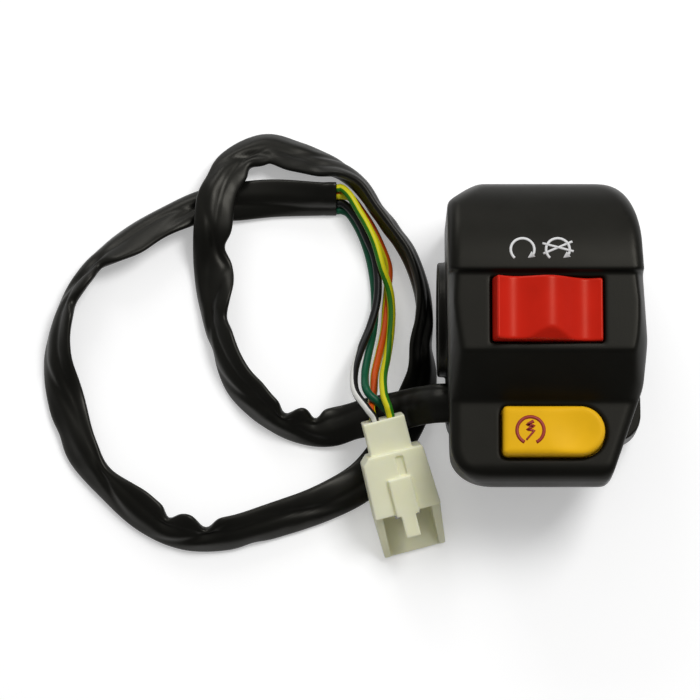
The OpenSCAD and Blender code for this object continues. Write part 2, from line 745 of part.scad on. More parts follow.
// The four wires from the sleeve's mouth to the plug, each after a straight start
wire_x = mouth_x + 0.05;
function straight_start(y, z) = [for (x = [0, 0.7, 1.4]) [wire_x + x, y, z]];
black_white_route = concat(straight_start(30.4, -12.6), [[-44.7, 28.9, -12.5], [-42.5, 25.8, -12.4],
    [-40.7, 21.9, -12.4], [-38.9, 17.4, -12.4], [-38.1, 11.8, -12.4], [-38.4, 6.3, -12.3], [-39.9, 0.7, -11.5],
    [-42.1, -5.2, -9.4], [-43.6, -10.9, -6.4], [-43.4, -16.2, -2.8]]);
green_route = concat(straight_start(28.9, -14.2), [[-44.9, 28.1, -14.4], [-42.9, 25, -14.4],
    [-41.2, 21.1, -14.4], [-39.9, 16.6, -14.4], [-39, 11, -14.4], [-38.8, 5, -14.4], [-39.3, -0.6, -13.4],
    [-40.5, -6.9, -10], [-41.2, -12, -6.6], [-40.6, -16.5, -2.2]]);
yellow_green_route = concat(straight_start(33.3, -9.6), [[-44.4, 31.1, -9.2], [-41.8, 28, -9.3],
    [-39.7, 24.9, -9.5], [-37.8, 20.5, -10], [-36.7, 14.6, -10.8], [-35.4, 9.4, -12.2], [-34.9, 4.2, -12.6],
    [-35.2, -1.4, -11.6], [-36, -7.1, -9.2], [-36.9, -12.3, -5.2], [-36.8, -17.2, -0.9]]);
yellow_red_route = concat(straight_start(31.9, -11.2), [[-44.4, 31.3, -11.3], [-42, 28.2, -11.5],
    [-39.8, 24.9, -11.9], [-37.6, 20.6, -12.8], [-35.6, 15.3, -14.2], [-35.8, 10.1, -14.4], [-36.2, 5.5, -14.4],
    [-36.6, 0, -13.2], [-37.7, -5.6, -11], [-38.9, -11.3, -8.2], [-39.2, -15.8, -6.6]]);

// The wires' other ends inside the housing
lead_x = sleeve_in + 0.1;
lead_bend = lead_x + 1.4;
lead_end_y = tab_y - 0.1;
lead_end_x = tab_x - 0.05;
stop_lead_routes = [
    [[lead_x, exit_y + 3, 0], [lead_bend, exit_y + 3, 0], [-13.9, -15.8, 2.2], [-12.8, -14.9, 8.5],
        [-9.4, -15.4, 13.6], [live_tab_x, -14.9, 15.4], [live_tab_x, lead_end_y, 15.5]],
    [[lead_x, exit_y + 1, 0], [lead_bend, exit_y + 1, 0], [-12.8, -17.4, 2.6], [-9.5, -16.5, 6.5],
        [-4, -16.4, 12], [-0.8, -16.2, 15], [0, -14.9, 15.4], [0, lead_end_y, 15.5]]];
start_lead_routes = [
    [[lead_x, exit_y - 1, 0], [lead_bend, exit_y - 1, 0], [-13.4, -21.2, 1.6], [near_tab_x, -22.6, 4],
        [near_tab_x, -24.2, 5.3], [near_tab_x, near_tab_y + 0.05, 5.3]],
    [[lead_x, exit_y - 3, 0], [lead_bend - 0.2, exit_y - 3, 0], [-14.4, -23.8, 1.4], [-15, -26.4, 3.9],
        [-15.4, -29.4, 5.1], [-15, -31.6, 5.3], [-13.9, low_strip_y, 5.3], [lead_end_x, low_strip_y, 5.3]]];

// Smooth curve through the points of a route, in equal steps between each two
function curve_point(p, i, t) = let (
    a = p[max(i - 1, 0)],
    b = p[i],
    c = p[i + 1],
    d = p[min(i + 2, len(p) - 1)])
    b + (c - a) * t / 2 + (2 * a - 5 * b + 4 * c - d) * t * t / 2 + (3 * b - a - 3 * c + d) * t * t * t / 2;
function curve(p, steps) =
    concat([for (i = [0 : len(p) - 2], k = [0 : steps - 1]) curve_point(p, i, k / steps)], [p[len(p) - 1]]);
// Height of the sleeve's middle when it lies on the ground at a roll
function lying_z(roll) = lying_gap - rear_depth + norm([sleeve_w / 2 * sin(roll), sleeve_t / 2 * cos(roll)]);

// Frame of a ring: level sideways vector and its partner, turned by the roll
function unit(v) = v / norm(v);
function along(p, i) = unit(head(p[min(i + 1, len(p) - 1)]) - head(p[max(i - 1, 0)]));
function head(q) = [q[0], q[1], q[2]];
function side_of(t) = let (flat = [t[1], -t[0], 0]) norm(flat) < 0.05 ? [1, 0, 0] : unit(flat);
function oval_ring(p, i, w, t, sides) = let (
    d = along(p, i),
    s = side_of(d),
    u = cross(s, d),
    roll = len(p[i]) > 3 ? p[i][3] : 0,
    a = s * cos(roll) + u * sin(roll),
    b = u * cos(roll) - s * sin(roll))
    [for (q = oval(w, t, sides)) head(p[i]) + a * q[0] + b * q[1]];
module tube(route, w, t, sides) {
    skin_over([for (i = [0 : len(route) - 1]) oval_ring(route, i, w, t, sides)]);
}

module loom_sleeve() {
    color([0.1, 0.1, 0.1]) tube([for (q = curve(sleeve_route, 2)) [q[0], q[1], q[2] + lying_z(q[3]), q[3]]],
        sleeve_w, sleeve_t, 10);
}

// A wire from the sleeve into its corner of the plug, leaning off its pole's axis just before it
approach = 2.6;
entry_gap = 0.6;
module wire(route, tail, lean) {
    outside = concat(route, [plug_point(tail, -approach) + lean, plug_point(tail, -entry_gap)]);
    tube(concat(curve(outside, 2), [plug_point(tail, wire_depth)]), wire_d, wire_d, 8);
}

module wire_black_white() {
    color([0.08, 0.08, 0.08]) wire(black_white_route, [-1, 1], [-1.1, 0.3, 0]);
}

module wire_green() {
    color([0.05, 0.3, 0.15]) wire(green_route, [1, -1], [-1.1, -0.2, 0]);
}

module wire_yellow_red() {
    color([0.85, 0.7, 0.1]) wire(yellow_red_route, [-1, -1], [0, 0, 0]);
}

module wire_yellow_green() {
    color([0.85, 0.75, 0.15]) wire(yellow_green_route, [1, 1], [0, 0, 0]);
}

module stop_leads() {
    color([0.05, 0.3, 0.15]) for (route = stop_lead_routes) tube(route, wire_d, wire_d, 8);
}

module start_leads() {
    color([0.85, 0.7, 0.1]) for (route = start_lead_routes) tube(route, wire_d, wire_d, 8);
}

// Tie that keeps the sleeve from pulling out
tie_from_wall = 1.1;
module loom_tie() {
    fit = 2 * (tie_t + tie_fit);
    color([0.1, 0.1, 0.1]) translate([-half_w + wall + tie_from_wall, exit_y, 0]) rotate([90, 0, 90])
        linear_extrude(tie_w) difference() {
            union() {
                polygon(oval(sleeve_w + fit, sleeve_t + fit, 32));
                translate([-2, 0]) square([4, sleeve_t / 2 + 3]);
            }
            polygon(oval(sleeve_w + 2 * tie_fit, sleeve_t + 2 * tie_fit, 32));
        }
}

// Plug: local +Y runs from its mouth to its wire end, about the middle of the wire end
plug_at = [-37.2, -22.8, -1.5];
plug_yaw = 14.9;
plug_pitch = 15;
entry_l = 7.7;
entry_w = 9.8;
entry_t = 8;
plug_wall = 1.5;
socket_l = 18;
cutback = 10.3;
plug_flare = 0.7;
plug_corner = 1.6;
pole_x = 1.9;
pole_r = wire_d / 2 + 0.2;
wire_depth = 3;
module at_plug() {
    translate(plug_at) rotate([0, 0, plug_yaw]) rotate([plug_pitch, 0, 0]) children();
}
// A point on a pole's axis, given its corner and its depth from the wire end
function plug_point(corner, depth) = let (
    x = corner[0] * pole_x,
    y = -depth * cos(plug_pitch) - corner[1] * pole_x * sin(plug_pitch),
    z = corner[1] * pole_x * cos(plug_pitch) - depth * sin(plug_pitch))
    plug_at + [x * cos(plug_yaw) - y * sin(plug_yaw), x * sin(plug_yaw) + y * cos(plug_yaw), z];

module plug_box(w, t, y0, y1) {
    translate([-w / 2, -y1, -t / 2]) cube([w, y1 - y0, t]);
}

tongue_w = 5.4;
tongue_tip_w = 3.4;
tongue_t = 1;
tongue_y = entry_l + 6;
tongue_end = plug_l - 4.6;
// Side walls of the mouth, which slope down to a low rim
rim_top = plug_t / 2 - plug_wall - 0.8;
rim_slope = atan((plug_t - 2 * plug_wall - 1.4) / cutback);
// Shallow slot on top, behind the tongue
slot_x = 1.2;
slot_w = 1.8;
slot_t = 0.7;
plug_plan = [
    [plug_corner - plug_w / 2, -entry_l], [plug_w / 2 - 0.5, -entry_l], [plug_w / 2, -entry_l - 0.5],
    [plug_w / 2 + plug_flare, cutback - plug_l], [plug_w / 2, -plug_l], [-plug_w / 2, -plug_l],
    [-plug_w / 2 - plug_flare / 2, cutback - plug_l], [-plug_w / 2, -entry_l - plug_corner]];
module plug_housing() {
    shoulder = plug_l - socket_l;
    color([0.9, 0.88, 0.8]) at_plug() {
        difference() {
            union() {
                plug_box(entry_w, entry_t, 0, entry_l + 1);
                translate([0, 0, -plug_t / 2]) linear_extrude(plug_t) polygon(plug_plan);
            }
            plug_box(plug_w - 2 * plug_wall, plug_t - 2 * plug_wall, shoulder, plug_l + 1);
            translate([0, 0, rim_top + plug_t / 2])
                plug_box(2 * plug_w, plug_t, plug_l - cutback, plug_l + 1);
            translate([-plug_w, cutback - plug_l, rim_top]) rotate([rim_slope, 0, 0])
                translate([0, -2 * cutback, 0]) cube([2 * plug_w, 2 * cutback, plug_t]);
            translate([slot_x, 0, plug_t / 2]) plug_box(slot_w, 2 * slot_t, entry_l + 1.2, tongue_y - 0.3);
            for (x = [-1, 1], z = [-1, 1]) translate([x * pole_x, 1, z * pole_x]) rotate([90, 0, 0])
                cylinder(r = pole_r, h = shoulder + 2);
        }
        translate([0, 0, plug_t / 2 + tongue_t / 2 - eps]) {
            plug_box(tongue_w, tongue_t, tongue_y, plug_l - cutback + 0.5);
            plug_box(tongue_tip_w, tongue_t, plug_l - cutback, tongue_end);
        }
        translate([0, 0, plug_t / 2 - plug_wall / 2])
            plug_box(tongue_tip_w, plug_wall, plug_l - cutback - eps, tongue_end);
    }
}

// Blades in the socket, each with a barrel round its wire's end
blade_w = 2.1;
blade_t = 0.6;
barrel_l = 4;
module plug_terminals() {
    color("silver") at_plug() for (x = [-1, 1], z = [-1, 1]) translate([x * pole_x, 0, z * pole_x]) {
        translate([0, -wire_depth - drop_gap, 0]) rotate([90, 0, 0]) cylinder(r = wire_d / 2, h = barrel_l);
        plug_box(blade_w, blade_t, wire_depth + barrel_l, plug_l - socket_l / 2);
    }
}

echo(plunger_spring_gap = coil_gap(plunger_spring_r, plunger_wire, plunger_spring_l, plunger_turns));
echo(return_spring_gap = coil_gap(return_d / 2, return_wire, return_l, return_turns));

front_housing();
rear_housing();
clamp_screws();
threaded_inserts();
stop_rocker();
rocker_pivot_pins();
rocker_plunger();
plunger_spring();
stop_base();
stop_base_screws();
tumbler_contact();
stop_common_terminal();
stop_live_terminal();
stop_leads();
start_button();
start_bridge();
start_return_spring();
start_base();
start_base_screws();
start_terminals();
start_leads();
loom_tie();
loom_sleeve();
wire_black_white();
wire_green();
wire_yellow_red();
wire_yellow_green();
plug_housing();
plug_terminals();
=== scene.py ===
import math

import bpy
import numpy as np
import openvdb
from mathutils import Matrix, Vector


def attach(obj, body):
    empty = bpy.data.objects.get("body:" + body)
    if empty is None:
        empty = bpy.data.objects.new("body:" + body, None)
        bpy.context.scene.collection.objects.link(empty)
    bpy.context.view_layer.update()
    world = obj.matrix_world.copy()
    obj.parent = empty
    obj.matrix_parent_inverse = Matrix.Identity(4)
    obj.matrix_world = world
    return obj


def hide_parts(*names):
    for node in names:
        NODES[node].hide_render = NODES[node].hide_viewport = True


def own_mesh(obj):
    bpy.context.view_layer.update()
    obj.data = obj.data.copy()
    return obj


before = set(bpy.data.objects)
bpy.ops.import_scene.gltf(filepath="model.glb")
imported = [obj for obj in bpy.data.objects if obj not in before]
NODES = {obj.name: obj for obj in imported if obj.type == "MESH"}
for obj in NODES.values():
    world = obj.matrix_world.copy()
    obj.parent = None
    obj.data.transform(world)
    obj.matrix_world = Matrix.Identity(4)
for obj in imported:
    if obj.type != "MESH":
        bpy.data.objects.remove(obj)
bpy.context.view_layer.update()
MM = 0.001

# Sizes of the part's source, in millimetres
BORE_R, COLLAR_R, COLLAR_LEN, SADDLE_RIM = 11.1, 13.3, 2.0, 1.2
HALF_W, WALL, SKIN = 22.5, 2.0, 2.3
TOP_Y, CHIN_Y, REAR_Y, REAR_DEPTH = 30.5, 40.5, 28.5, 15.5
SHOULDER_Z, PANEL_Z, LIP_Z, LOW_PANEL_Z = 10.0, 26.0, 27.2, 17.0
LIP_Y, RECESS_Y, SLOPE_Y, CHIN_START_Y, CHIN_FLOOR_Y = 6.5, -11.6, -21.9, -36.3, -33.5
CHIN_TIP_Z, CHIN_TOP_Z, CHAMFER_Y, CORNER_Y, CUT_Y = 9.0, 12.0, 24.1, -31.7, -18.6
BELLY_Y, SHOULDER_Y = -8.5, 12.0
LEFT_TOP_X, LEFT_LOW_X, LEFT_CORNER_W, RIGHT_TOP_X, RIGHT_SHOULDER_X = -15.2, -21.8, 9.2, 12.0, 21.7
CUT_TOP_X, CUT_LOW_X, RIGHT_BELLY = 22.0, 15.0, 0.4
EXIT_Y, SLEEVE_W, SLEEVE_T, WIRE_D = -19.5, 9.2, 3.8, 1.9
ROCKER_Y, ROCKER_R, ROCKER_TOP, RIDGE_H, PAD_X = 14.5, 12.5, 3.6, 1.4, 8.2
PIVOT = np.array([0.0, -2.3, 25.0])
REST_TILT = math.radians(9)
BUTTON_X0, BUTTON_L, BUTTON_H, BUTTON_C = -10.1, 23.2, 11.3, -28.95
BUTTON_TOP, BUTTON_LOW, FLANGE_Z, SPRING_X = 20.3, 12.4, 12.9, 1.8
CLAMPS = [(0.0, 18.5), (13.0, -18.2)]
BOSS_R, INSERT_R, INSERT_TOP, SCREW_R, SCREW_TOP = 4.6, 3.12, 8.32, 2.6, 11.3
REAR_BOSS_R, REAR_HOLE_R, HEAD_R, HEAD_FLOOR_Z, REAR_FLOOR = 6.4, 2.7, 4.8, -11.5, 2.6
PILLAR_X, PILLAR_R, PILLAR_LOW, PILLAR_BORE_R, PILLAR_BORE_TOP = ROCKER_R + 3.5, 2.2, 15.1, 1.12, 21.4
ROCKER_GAP, BUTTON_GAP, BUTTON_WALL, FLANGE_W, FLANGE_T = 0.3, 0.3, 1.6, 0.9, 1.5
PIN_R, PIN_HEAD_R, STEM_R, STEM_BORE_R, STEM_LOW = 1.02, 2.1, 2.7, 1.65, -4.4
ROCKER_HOLE_Z, ROCKER_LOW, ROCKER_WALL, HOLLOW_Y, HOLLOW_TOP = 21.0, -2.2, 1.7, 5.85, 0.6
SCOOP_TILT = math.radians(38)
DISH_X, DISH_R, DISH_DEPTH = 7.0, 26.0, 0.6
POST_R, POST_BORE_R, BRIDGE_TOP, BUTTON_ROOF = 4.2, 3.2, 9.6, 2.0
REAR_ROUND_IN, REAR_ROUND_H, REAR_CORNER_R, CHIN_SKIN, LOOM_GAP = 5.4, 7.0, 6.0, 2.8, 0.4
# Cell sizes of the grids that the mouldings are skinned from
FRONT_STEP, REAR_STEP, ROCKER_STEP, BUTTON_STEP = 0.37, 0.4, 0.2, 0.22


# Meshes

def add_mesh(name, points, faces, body, mats, indices=None):
    mesh = bpy.data.meshes.new(name)
    corners = [tuple(p) for p in np.asarray(points) * MM]
    mesh.from_pydata(corners, [], [tuple(int(i) for i in f) for f in faces])
    mesh.polygons.foreach_set("use_smooth", [True] * len(mesh.polygons))
    for m in mats:
        mesh.materials.append(m)
    if indices is not None:
        mesh.polygons.foreach_set("material_index", indices)
    mesh.validate()
    obj = bpy.data.objects.new(name, mesh)
    bpy.context.scene.collection.objects.link(obj)
    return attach(obj, body)


def lattice(low, high, step):
    axes = [np.arange(a, b + step, step) for a, b in zip(low, high)]
    return np.meshgrid(*axes, indexing="ij")


def smooth_max(a, b, k):
    h = np.clip(0.5 + 0.5 * (a - b) / k, 0, 1)
    return b + (a - b) * h + k * h * (1 - h)


def blur(field):
    """The field averaged with its neighbours, which rounds its edges a little."""
    for axis in range(3):
        padded = np.concatenate([field.take([0], axis), field, field.take([-1], axis)], axis)
        n = field.shape[axis]
        before, here, after = (padded.take(range(k, n + k), axis) for k in range(3))
        field = 0.25 * before + 0.5 * here + 0.25 * after
    return field


def skin(field, low, step):
    """Points and quads of the surface where the field is zero, outside positive."""
    grid = openvdb.FloatGrid(3.0)
    grid.copyFromArray(np.clip(field, -2, 2).astype(np.float32))
    points, quads = grid.convertToQuads(0.0)
    points = points.astype(float)
    ends = np.concatenate([quads[:, [k, (k + 1) % 4]] for k in range(4)]).astype(int)
    degree = np.bincount(ends.ravel(), minlength=len(points))[:, None]
    for pull in (0.5, -0.52, 0.5, -0.52):
        total = np.zeros_like(points)
        np.add.at(total, ends[:, 0], points[ends[:, 1]])
        np.add.at(total, ends[:, 1], points[ends[:, 0]])
        points += pull * (total / np.maximum(degree, 1) - points)
    return np.array(low) + points * step, quads[:, ::-1]


def polygon_field(x, y, outline):
    """Signed distance to a closed outline, inside negative."""
    outline = np.asarray(outline, float)
    px, py = x.ravel(), y.ravel()
    best = np.full(px.shape, 1e9)
    inside = np.zeros(px.shape, bool)
    for (ax, ay), (bx, by) in zip(outline, np.roll(outline, -1, 0)):
        ex, ey = bx - ax, by - ay
        length = ex * ex + ey * ey
        if length < 1e-12:
            continue
        t = np.clip(((px - ax) * ex + (py - ay) * ey) / length, 0, 1)
        best = np.minimum(best, (px - ax - t * ex) ** 2 + (py - ay - t * ey) ** 2)
        if ay != by:
            cross = ((ay > py) != (by > py)) & (px < ex * (py - ay) / ey + ax)
            inside ^= cross
    return np.where(inside, -1, 1).reshape(x.shape) * np.sqrt(best).reshape(x.shape)


def soften(outline, step, spread):
    """The outline in even steps with its corners rounded."""
    p = np.asarray(outline, float)
    p = np.vstack([p, p[:1]])
    run = np.concatenate([[0], np.cumsum(np.linalg.norm(np.diff(p, axis=0), axis=1))])
    n = int(run[-1] / step)
    even = np.stack([np.interp(np.arange(n) * run[-1] / n, run, p[:, k]) for k in (0, 1)], 1)
    reach = int(3 * spread / step)
    weight = np.exp(-0.5 * (np.arange(-reach, reach + 1) * step / spread) ** 2)
    weight /= weight.sum()
    return sum(w * np.roll(even, k - reach, 0) for k, w in enumerate(weight))


# Materials

MILK_IOR, MILK_RADIUS, MILK_DEPTH = 1.25, (1.0, 0.92, 0.6), 2


def shade(name, color, rough, metallic=0.0, grain=900.0, bump=0.012, vary=0.12, rough_vary=0.08,
          wear=0.0, wear_color=None, specular=0.5, tint=None, subsurface=0.0, through=0.0):
    """Procedural finish: mottled colour, uneven gloss, fine grain; if asked, worn edges or milky depth."""
    mat = bpy.data.materials.new(name)
    mat.use_nodes = True
    tree = mat.node_tree
    bsdf = tree.nodes["Principled BSDF"]
    make, join = tree.nodes.new, tree.links.new
    coords = make("ShaderNodeTexCoord")

    def cloud(scale, detail):
        node = make("ShaderNodeTexNoise")
        node.inputs["Scale"].default_value = scale
        node.inputs["Detail"].default_value = detail
        node.inputs["Roughness"].default_value = 0.55
        join(coords.outputs["Object"], node.inputs["Vector"])
        return node

    broad, fine = cloud(70, 3), cloud(grain, 2)
    ramp = make("ShaderNodeValToRGB")
    dark = [c * (1 - vary) for c in color] + [1]
    light = [min(1, c * (1 + vary)) for c in color] + [1]
    ramp.color_ramp.elements[0].position, ramp.color_ramp.elements[1].position = 0.3, 0.72
    ramp.color_ramp.elements[0].color, ramp.color_ramp.elements[1].color = dark, light
    join(broad.outputs["Fac"], ramp.inputs["Fac"])
    hue = ramp.outputs["Color"]
    if wear:
        geometry = make("ShaderNodeNewGeometry")
        edge = make("ShaderNodeMapRange")
        edge.inputs["From Min"].default_value, edge.inputs["From Max"].default_value = 0.53, 0.62
        edge.inputs["To Max"].default_value = wear
        join(geometry.outputs["Pointiness"], edge.inputs["Value"])
        broken = make("ShaderNodeMath")
        broken.operation = "MULTIPLY"
        join(edge.outputs["Result"], broken.inputs[0])
        join(cloud(260, 3).outputs["Fac"], broken.inputs[1])
        mix = make("ShaderNodeMix")
        mix.data_type = "RGBA"
        join(broken.outputs["Value"], mix.inputs["Factor"])
        join(hue, mix.inputs["A"])
        mix.inputs["B"].default_value = list(wear_color or [min(1, c * 1.8 + 0.05) for c in color]) + [1]
        hue = mix.outputs["Result"]
    join(hue, bsdf.inputs["Base Color"])
    gloss = make("ShaderNodeMapRange")
    gloss.inputs["To Min"].default_value = max(0.03, rough - rough_vary)
    gloss.inputs["To Max"].default_value = min(1, rough + rough_vary)
    join(cloud(160, 4).outputs["Fac"], gloss.inputs["Value"])
    join(gloss.outputs["Result"], bsdf.inputs["Roughness"])
    bsdf.inputs["Metallic"].default_value = metallic
    bsdf.inputs["Specular IOR Level"].default_value = specular
    if tint:
        bsdf.inputs["Specular Tint"].default_value = list(tint) + [1]
    if subsurface:
        bsdf.inputs["Subsurface Weight"].default_value = subsurface
        bsdf.inputs["Transmission Weight"].default_value = through
        bsdf.inputs["IOR"].default_value = MILK_IOR
        bsdf.inputs["Subsurface Radius"].default_value = MILK_RADIUS
        bsdf.inputs["Subsurface Scale"].default_value = MILK_DEPTH * MM
    if bump:
        bumps = make("ShaderNodeBump")
        bumps.inputs["Distance"].default_value = bump * MM
        bumps.inputs["Strength"].default_value = 0.6
        join(fine.outputs["Fac"], bumps.inputs["Height"])
        join(bumps.outputs["Normal"], bsdf.inputs["Normal"])
    return mat


shell_black = shade("shell_black", (0.0032, 0.0032, 0.0025), 0.4, grain=2600, bump=0.014, vary=0.25, wear=0.4,
                    wear_color=(0.014, 0.014, 0.012), specular=0.17, tint=(1, 0.96, 0.84))
rocker_red = shade("rocker_red", (0.50, 0.013, 0.005), 0.32, grain=700, bump=0.004, vary=0.1, wear=0.3,
                   wear_color=(0.58, 0.04, 0.02), specular=0.2, tint=(1, 0.5, 0.36))
button_yellow = shade("button_yellow", (0.78, 0.43, 0.010), 0.38, grain=1800, bump=0.006, vary=0.08, wear=0.3,
                      wear_color=(0.82, 0.52, 0.04), specular=0.12, tint=(1, 0.85, 0.4))
sleeve_black = shade("sleeve_black", (0.0034, 0.0034, 0.0027), 0.38, grain=420, bump=0.02, vary=0.3,
                     rough_vary=0.1, specular=0.22, tint=(1, 0.97, 0.87))
tie_black = shade("tie_black", (0.008, 0.008, 0.008), 0.5, grain=1500, bump=0.01, vary=0.2)
zinc = shade("zinc_steel", (0.60, 0.58, 0.52), 0.3, metallic=1.0, grain=2200, bump=0.004, vary=0.12)
spring_steel = shade("spring_steel", (0.45, 0.45, 0.46), 0.25, metallic=1.0, grain=3000, bump=0.003)
brass = shade("brass", (0.72, 0.50, 0.19), 0.28, metallic=1.0, grain=2500, bump=0.004, vary=0.15)
tinned = shade("tinned", (0.66, 0.65, 0.62), 0.26, metallic=1.0, grain=2500, bump=0.004, vary=0.1)
base_brown = shade("base_brown", (0.06, 0.03, 0.015), 0.5, grain=1500, bump=0.01, vary=0.2)
plunger_white = shade("plunger_white", (0.72, 0.71, 0.66), 0.4, grain=1500, bump=0.006)
plug_nylon = shade("plug_nylon", (0.97, 0.94, 0.68), 0.42, grain=1400, bump=0.008, vary=0.05,
                   subsurface=0.6, through=0.18, wear=0.3, wear_color=(0.88, 0.87, 0.76), specular=0.3)
wire_black = shade("wire_black", (0.006, 0.006, 0.006), 0.38, grain=1200, bump=0.008, vary=0.2, specular=0.25)
wire_white = shade("wire_white", (0.66, 0.66, 0.62), 0.4, grain=1200, bump=0.008)
wire_green = shade("wire_green", (0.002, 0.08, 0.036), 0.38, grain=1200, bump=0.008, vary=0.15, specular=0.25)
wire_yellow = shade("wire_yellow", (0.62, 0.57, 0.008), 0.4, grain=1200, bump=0.008, vary=0.1, specular=0.2)
stripe_red = shade("stripe_red", (0.56, 0.075, 0.003), 0.4, grain=1200, bump=0.008, specular=0.2)
stripe_green = shade("stripe_green", (0.025, 0.16, 0.008), 0.4, grain=1200, bump=0.008, specular=0.2)
icon_white = shade("icon_white", (0.62, 0.62, 0.62), 0.5, grain=2500, bump=0.004, vary=0.1)
icon_red = shade("icon_red", (0.30, 0.016, 0.004), 0.5, grain=2500, bump=0.004, vary=0.1)


# Housing, rocker and button

def ellipse_at(u):
    return np.sqrt(np.maximum(0, 1 - u * u))


def left_x(y):
    y = np.asarray(y, float)
    low = LEFT_LOW_X + LEFT_CORNER_W * (1 - ellipse_at(np.clip((CORNER_Y - y) / (CORNER_Y + CHIN_Y), 0, 1)))
    side = np.interp(y, [CORNER_Y, 0], [LEFT_LOW_X, -HALF_W])
    slant = -HALF_W + (LEFT_TOP_X + HALF_W) * (y - CHAMFER_Y) / (TOP_Y - CHAMFER_Y)
    return np.where(y > CHAMFER_Y, slant, np.where(y > CORNER_Y, side, low))


def right_x(y):
    y = np.asarray(y, float)
    turn = ellipse_at(np.clip((y - SHOULDER_Y) / (TOP_Y - SHOULDER_Y), 0, 1))
    top = RIGHT_TOP_X + (RIGHT_SHOULDER_X - RIGHT_TOP_X) * turn
    low = np.interp(y, [-CHIN_Y, -CHIN_Y + 2, CUT_Y, BELLY_Y, SHOULDER_Y],
                    [CUT_LOW_X - 1.7, CUT_LOW_X, CUT_TOP_X, HALF_W + RIGHT_BELLY, RIGHT_SHOULDER_X])
    return np.where(y > SHOULDER_Y, top, low)


def top_z(y):
    y = np.asarray(y, float)
    crown = SHOULDER_Z + (LIP_Z - SHOULDER_Z) * ellipse_at(np.clip((y - LIP_Y) / (TOP_Y - LIP_Y), 0, 1))
    past = np.clip((CHIN_START_Y - y) / (CHIN_START_Y + CHIN_Y), 0, 1)
    chin = CHIN_TOP_Z + (LOW_PANEL_Z - CHIN_TOP_Z) * ellipse_at(past)
    flats = np.interp(y, [SLOPE_Y, RECESS_Y], [LOW_PANEL_Z, PANEL_Z])
    return np.where(y >= LIP_Y, crown, np.where(y >= CHIN_START_Y, flats, chin))


def under_z(y):
    return np.maximum(0, CHIN_TIP_Z * (CHIN_FLOOR_Y - y) / (CHIN_FLOOR_Y + CHIN_Y))


def front_outline():
    ys = np.linspace(-CHIN_Y, TOP_Y, 281)
    return soften(np.vstack([np.stack([right_x(ys), ys], 1), np.stack([left_x(ys), ys], 1)[::-1]]), 0.35, 0.9)


def rear_outline(inset):
    a = np.radians(np.arange(0, 91, 5))
    top = np.stack([RIGHT_TOP_X + (RIGHT_SHOULDER_X - RIGHT_TOP_X - inset) * np.cos(a),
                    SHOULDER_Y + (TOP_Y - SHOULDER_Y - inset) * np.sin(a)], 1)
    corner = [[LEFT_TOP_X + inset / 2, TOP_Y - inset], [-HALF_W + inset, CHAMFER_Y - inset / 2]]
    r = max(0.5, REAR_CORNER_R - inset)
    left = np.stack([-HALF_W + inset + r * (1 - np.cos(a)), -REAR_Y + inset + r * (1 - np.sin(a))], 1)
    right = np.stack([HALF_W - inset - r * (1 - np.sin(a)), -REAR_Y + inset + r * (1 - np.cos(a))], 1)
    return np.vstack([top, corner, left, right])


def button_outline(grow):
    r = 1.0 + max(grow, -0.8)
    half = BUTTON_H / 2 + grow
    x0, end = BUTTON_X0 - grow + r, BUTTON_X0 + BUTTON_L - BUTTON_H / 2
    a, b = np.radians(np.arange(-90, 91, 5)), np.radians(np.arange(0, 91, 15))
    return np.vstack([
        np.stack([end + half * np.cos(a), BUTTON_C + half * np.sin(a)], 1),
        np.stack([x0 - r * np.sin(b), BUTTON_C + half - r * (1 - np.cos(b))], 1),
        np.stack([x0 - r * np.cos(b), BUTTON_C - half + r * (1 - np.sin(b))], 1)])


def rod(a, b, r, along, start, end):
    return np.maximum(np.sqrt(a * a + b * b) - r, np.maximum(start - along, along - end))


def loom_slot(x, y, z):
    a, b = (SLEEVE_W + LOOM_GAP) / 2, (SLEEVE_T + LOOM_GAP) / 2
    ring = (np.sqrt(((y - EXIT_Y) / a) ** 2 + (z / b) ** 2) - 1) * b
    return np.maximum(ring, x + HALF_W - WALL - 2)


def collars(x, y, z):
    """The two rings round the bar, of which the left one stands out of the housing."""
    rim = HALF_W - WALL - SADDLE_RIM
    left, right = np.maximum(-HALF_W - COLLAR_LEN - x, x + rim), np.maximum(rim - x, x - HALF_W)
    return np.maximum(np.sqrt(y * y + z * z) - COLLAR_R, np.minimum(left, right))


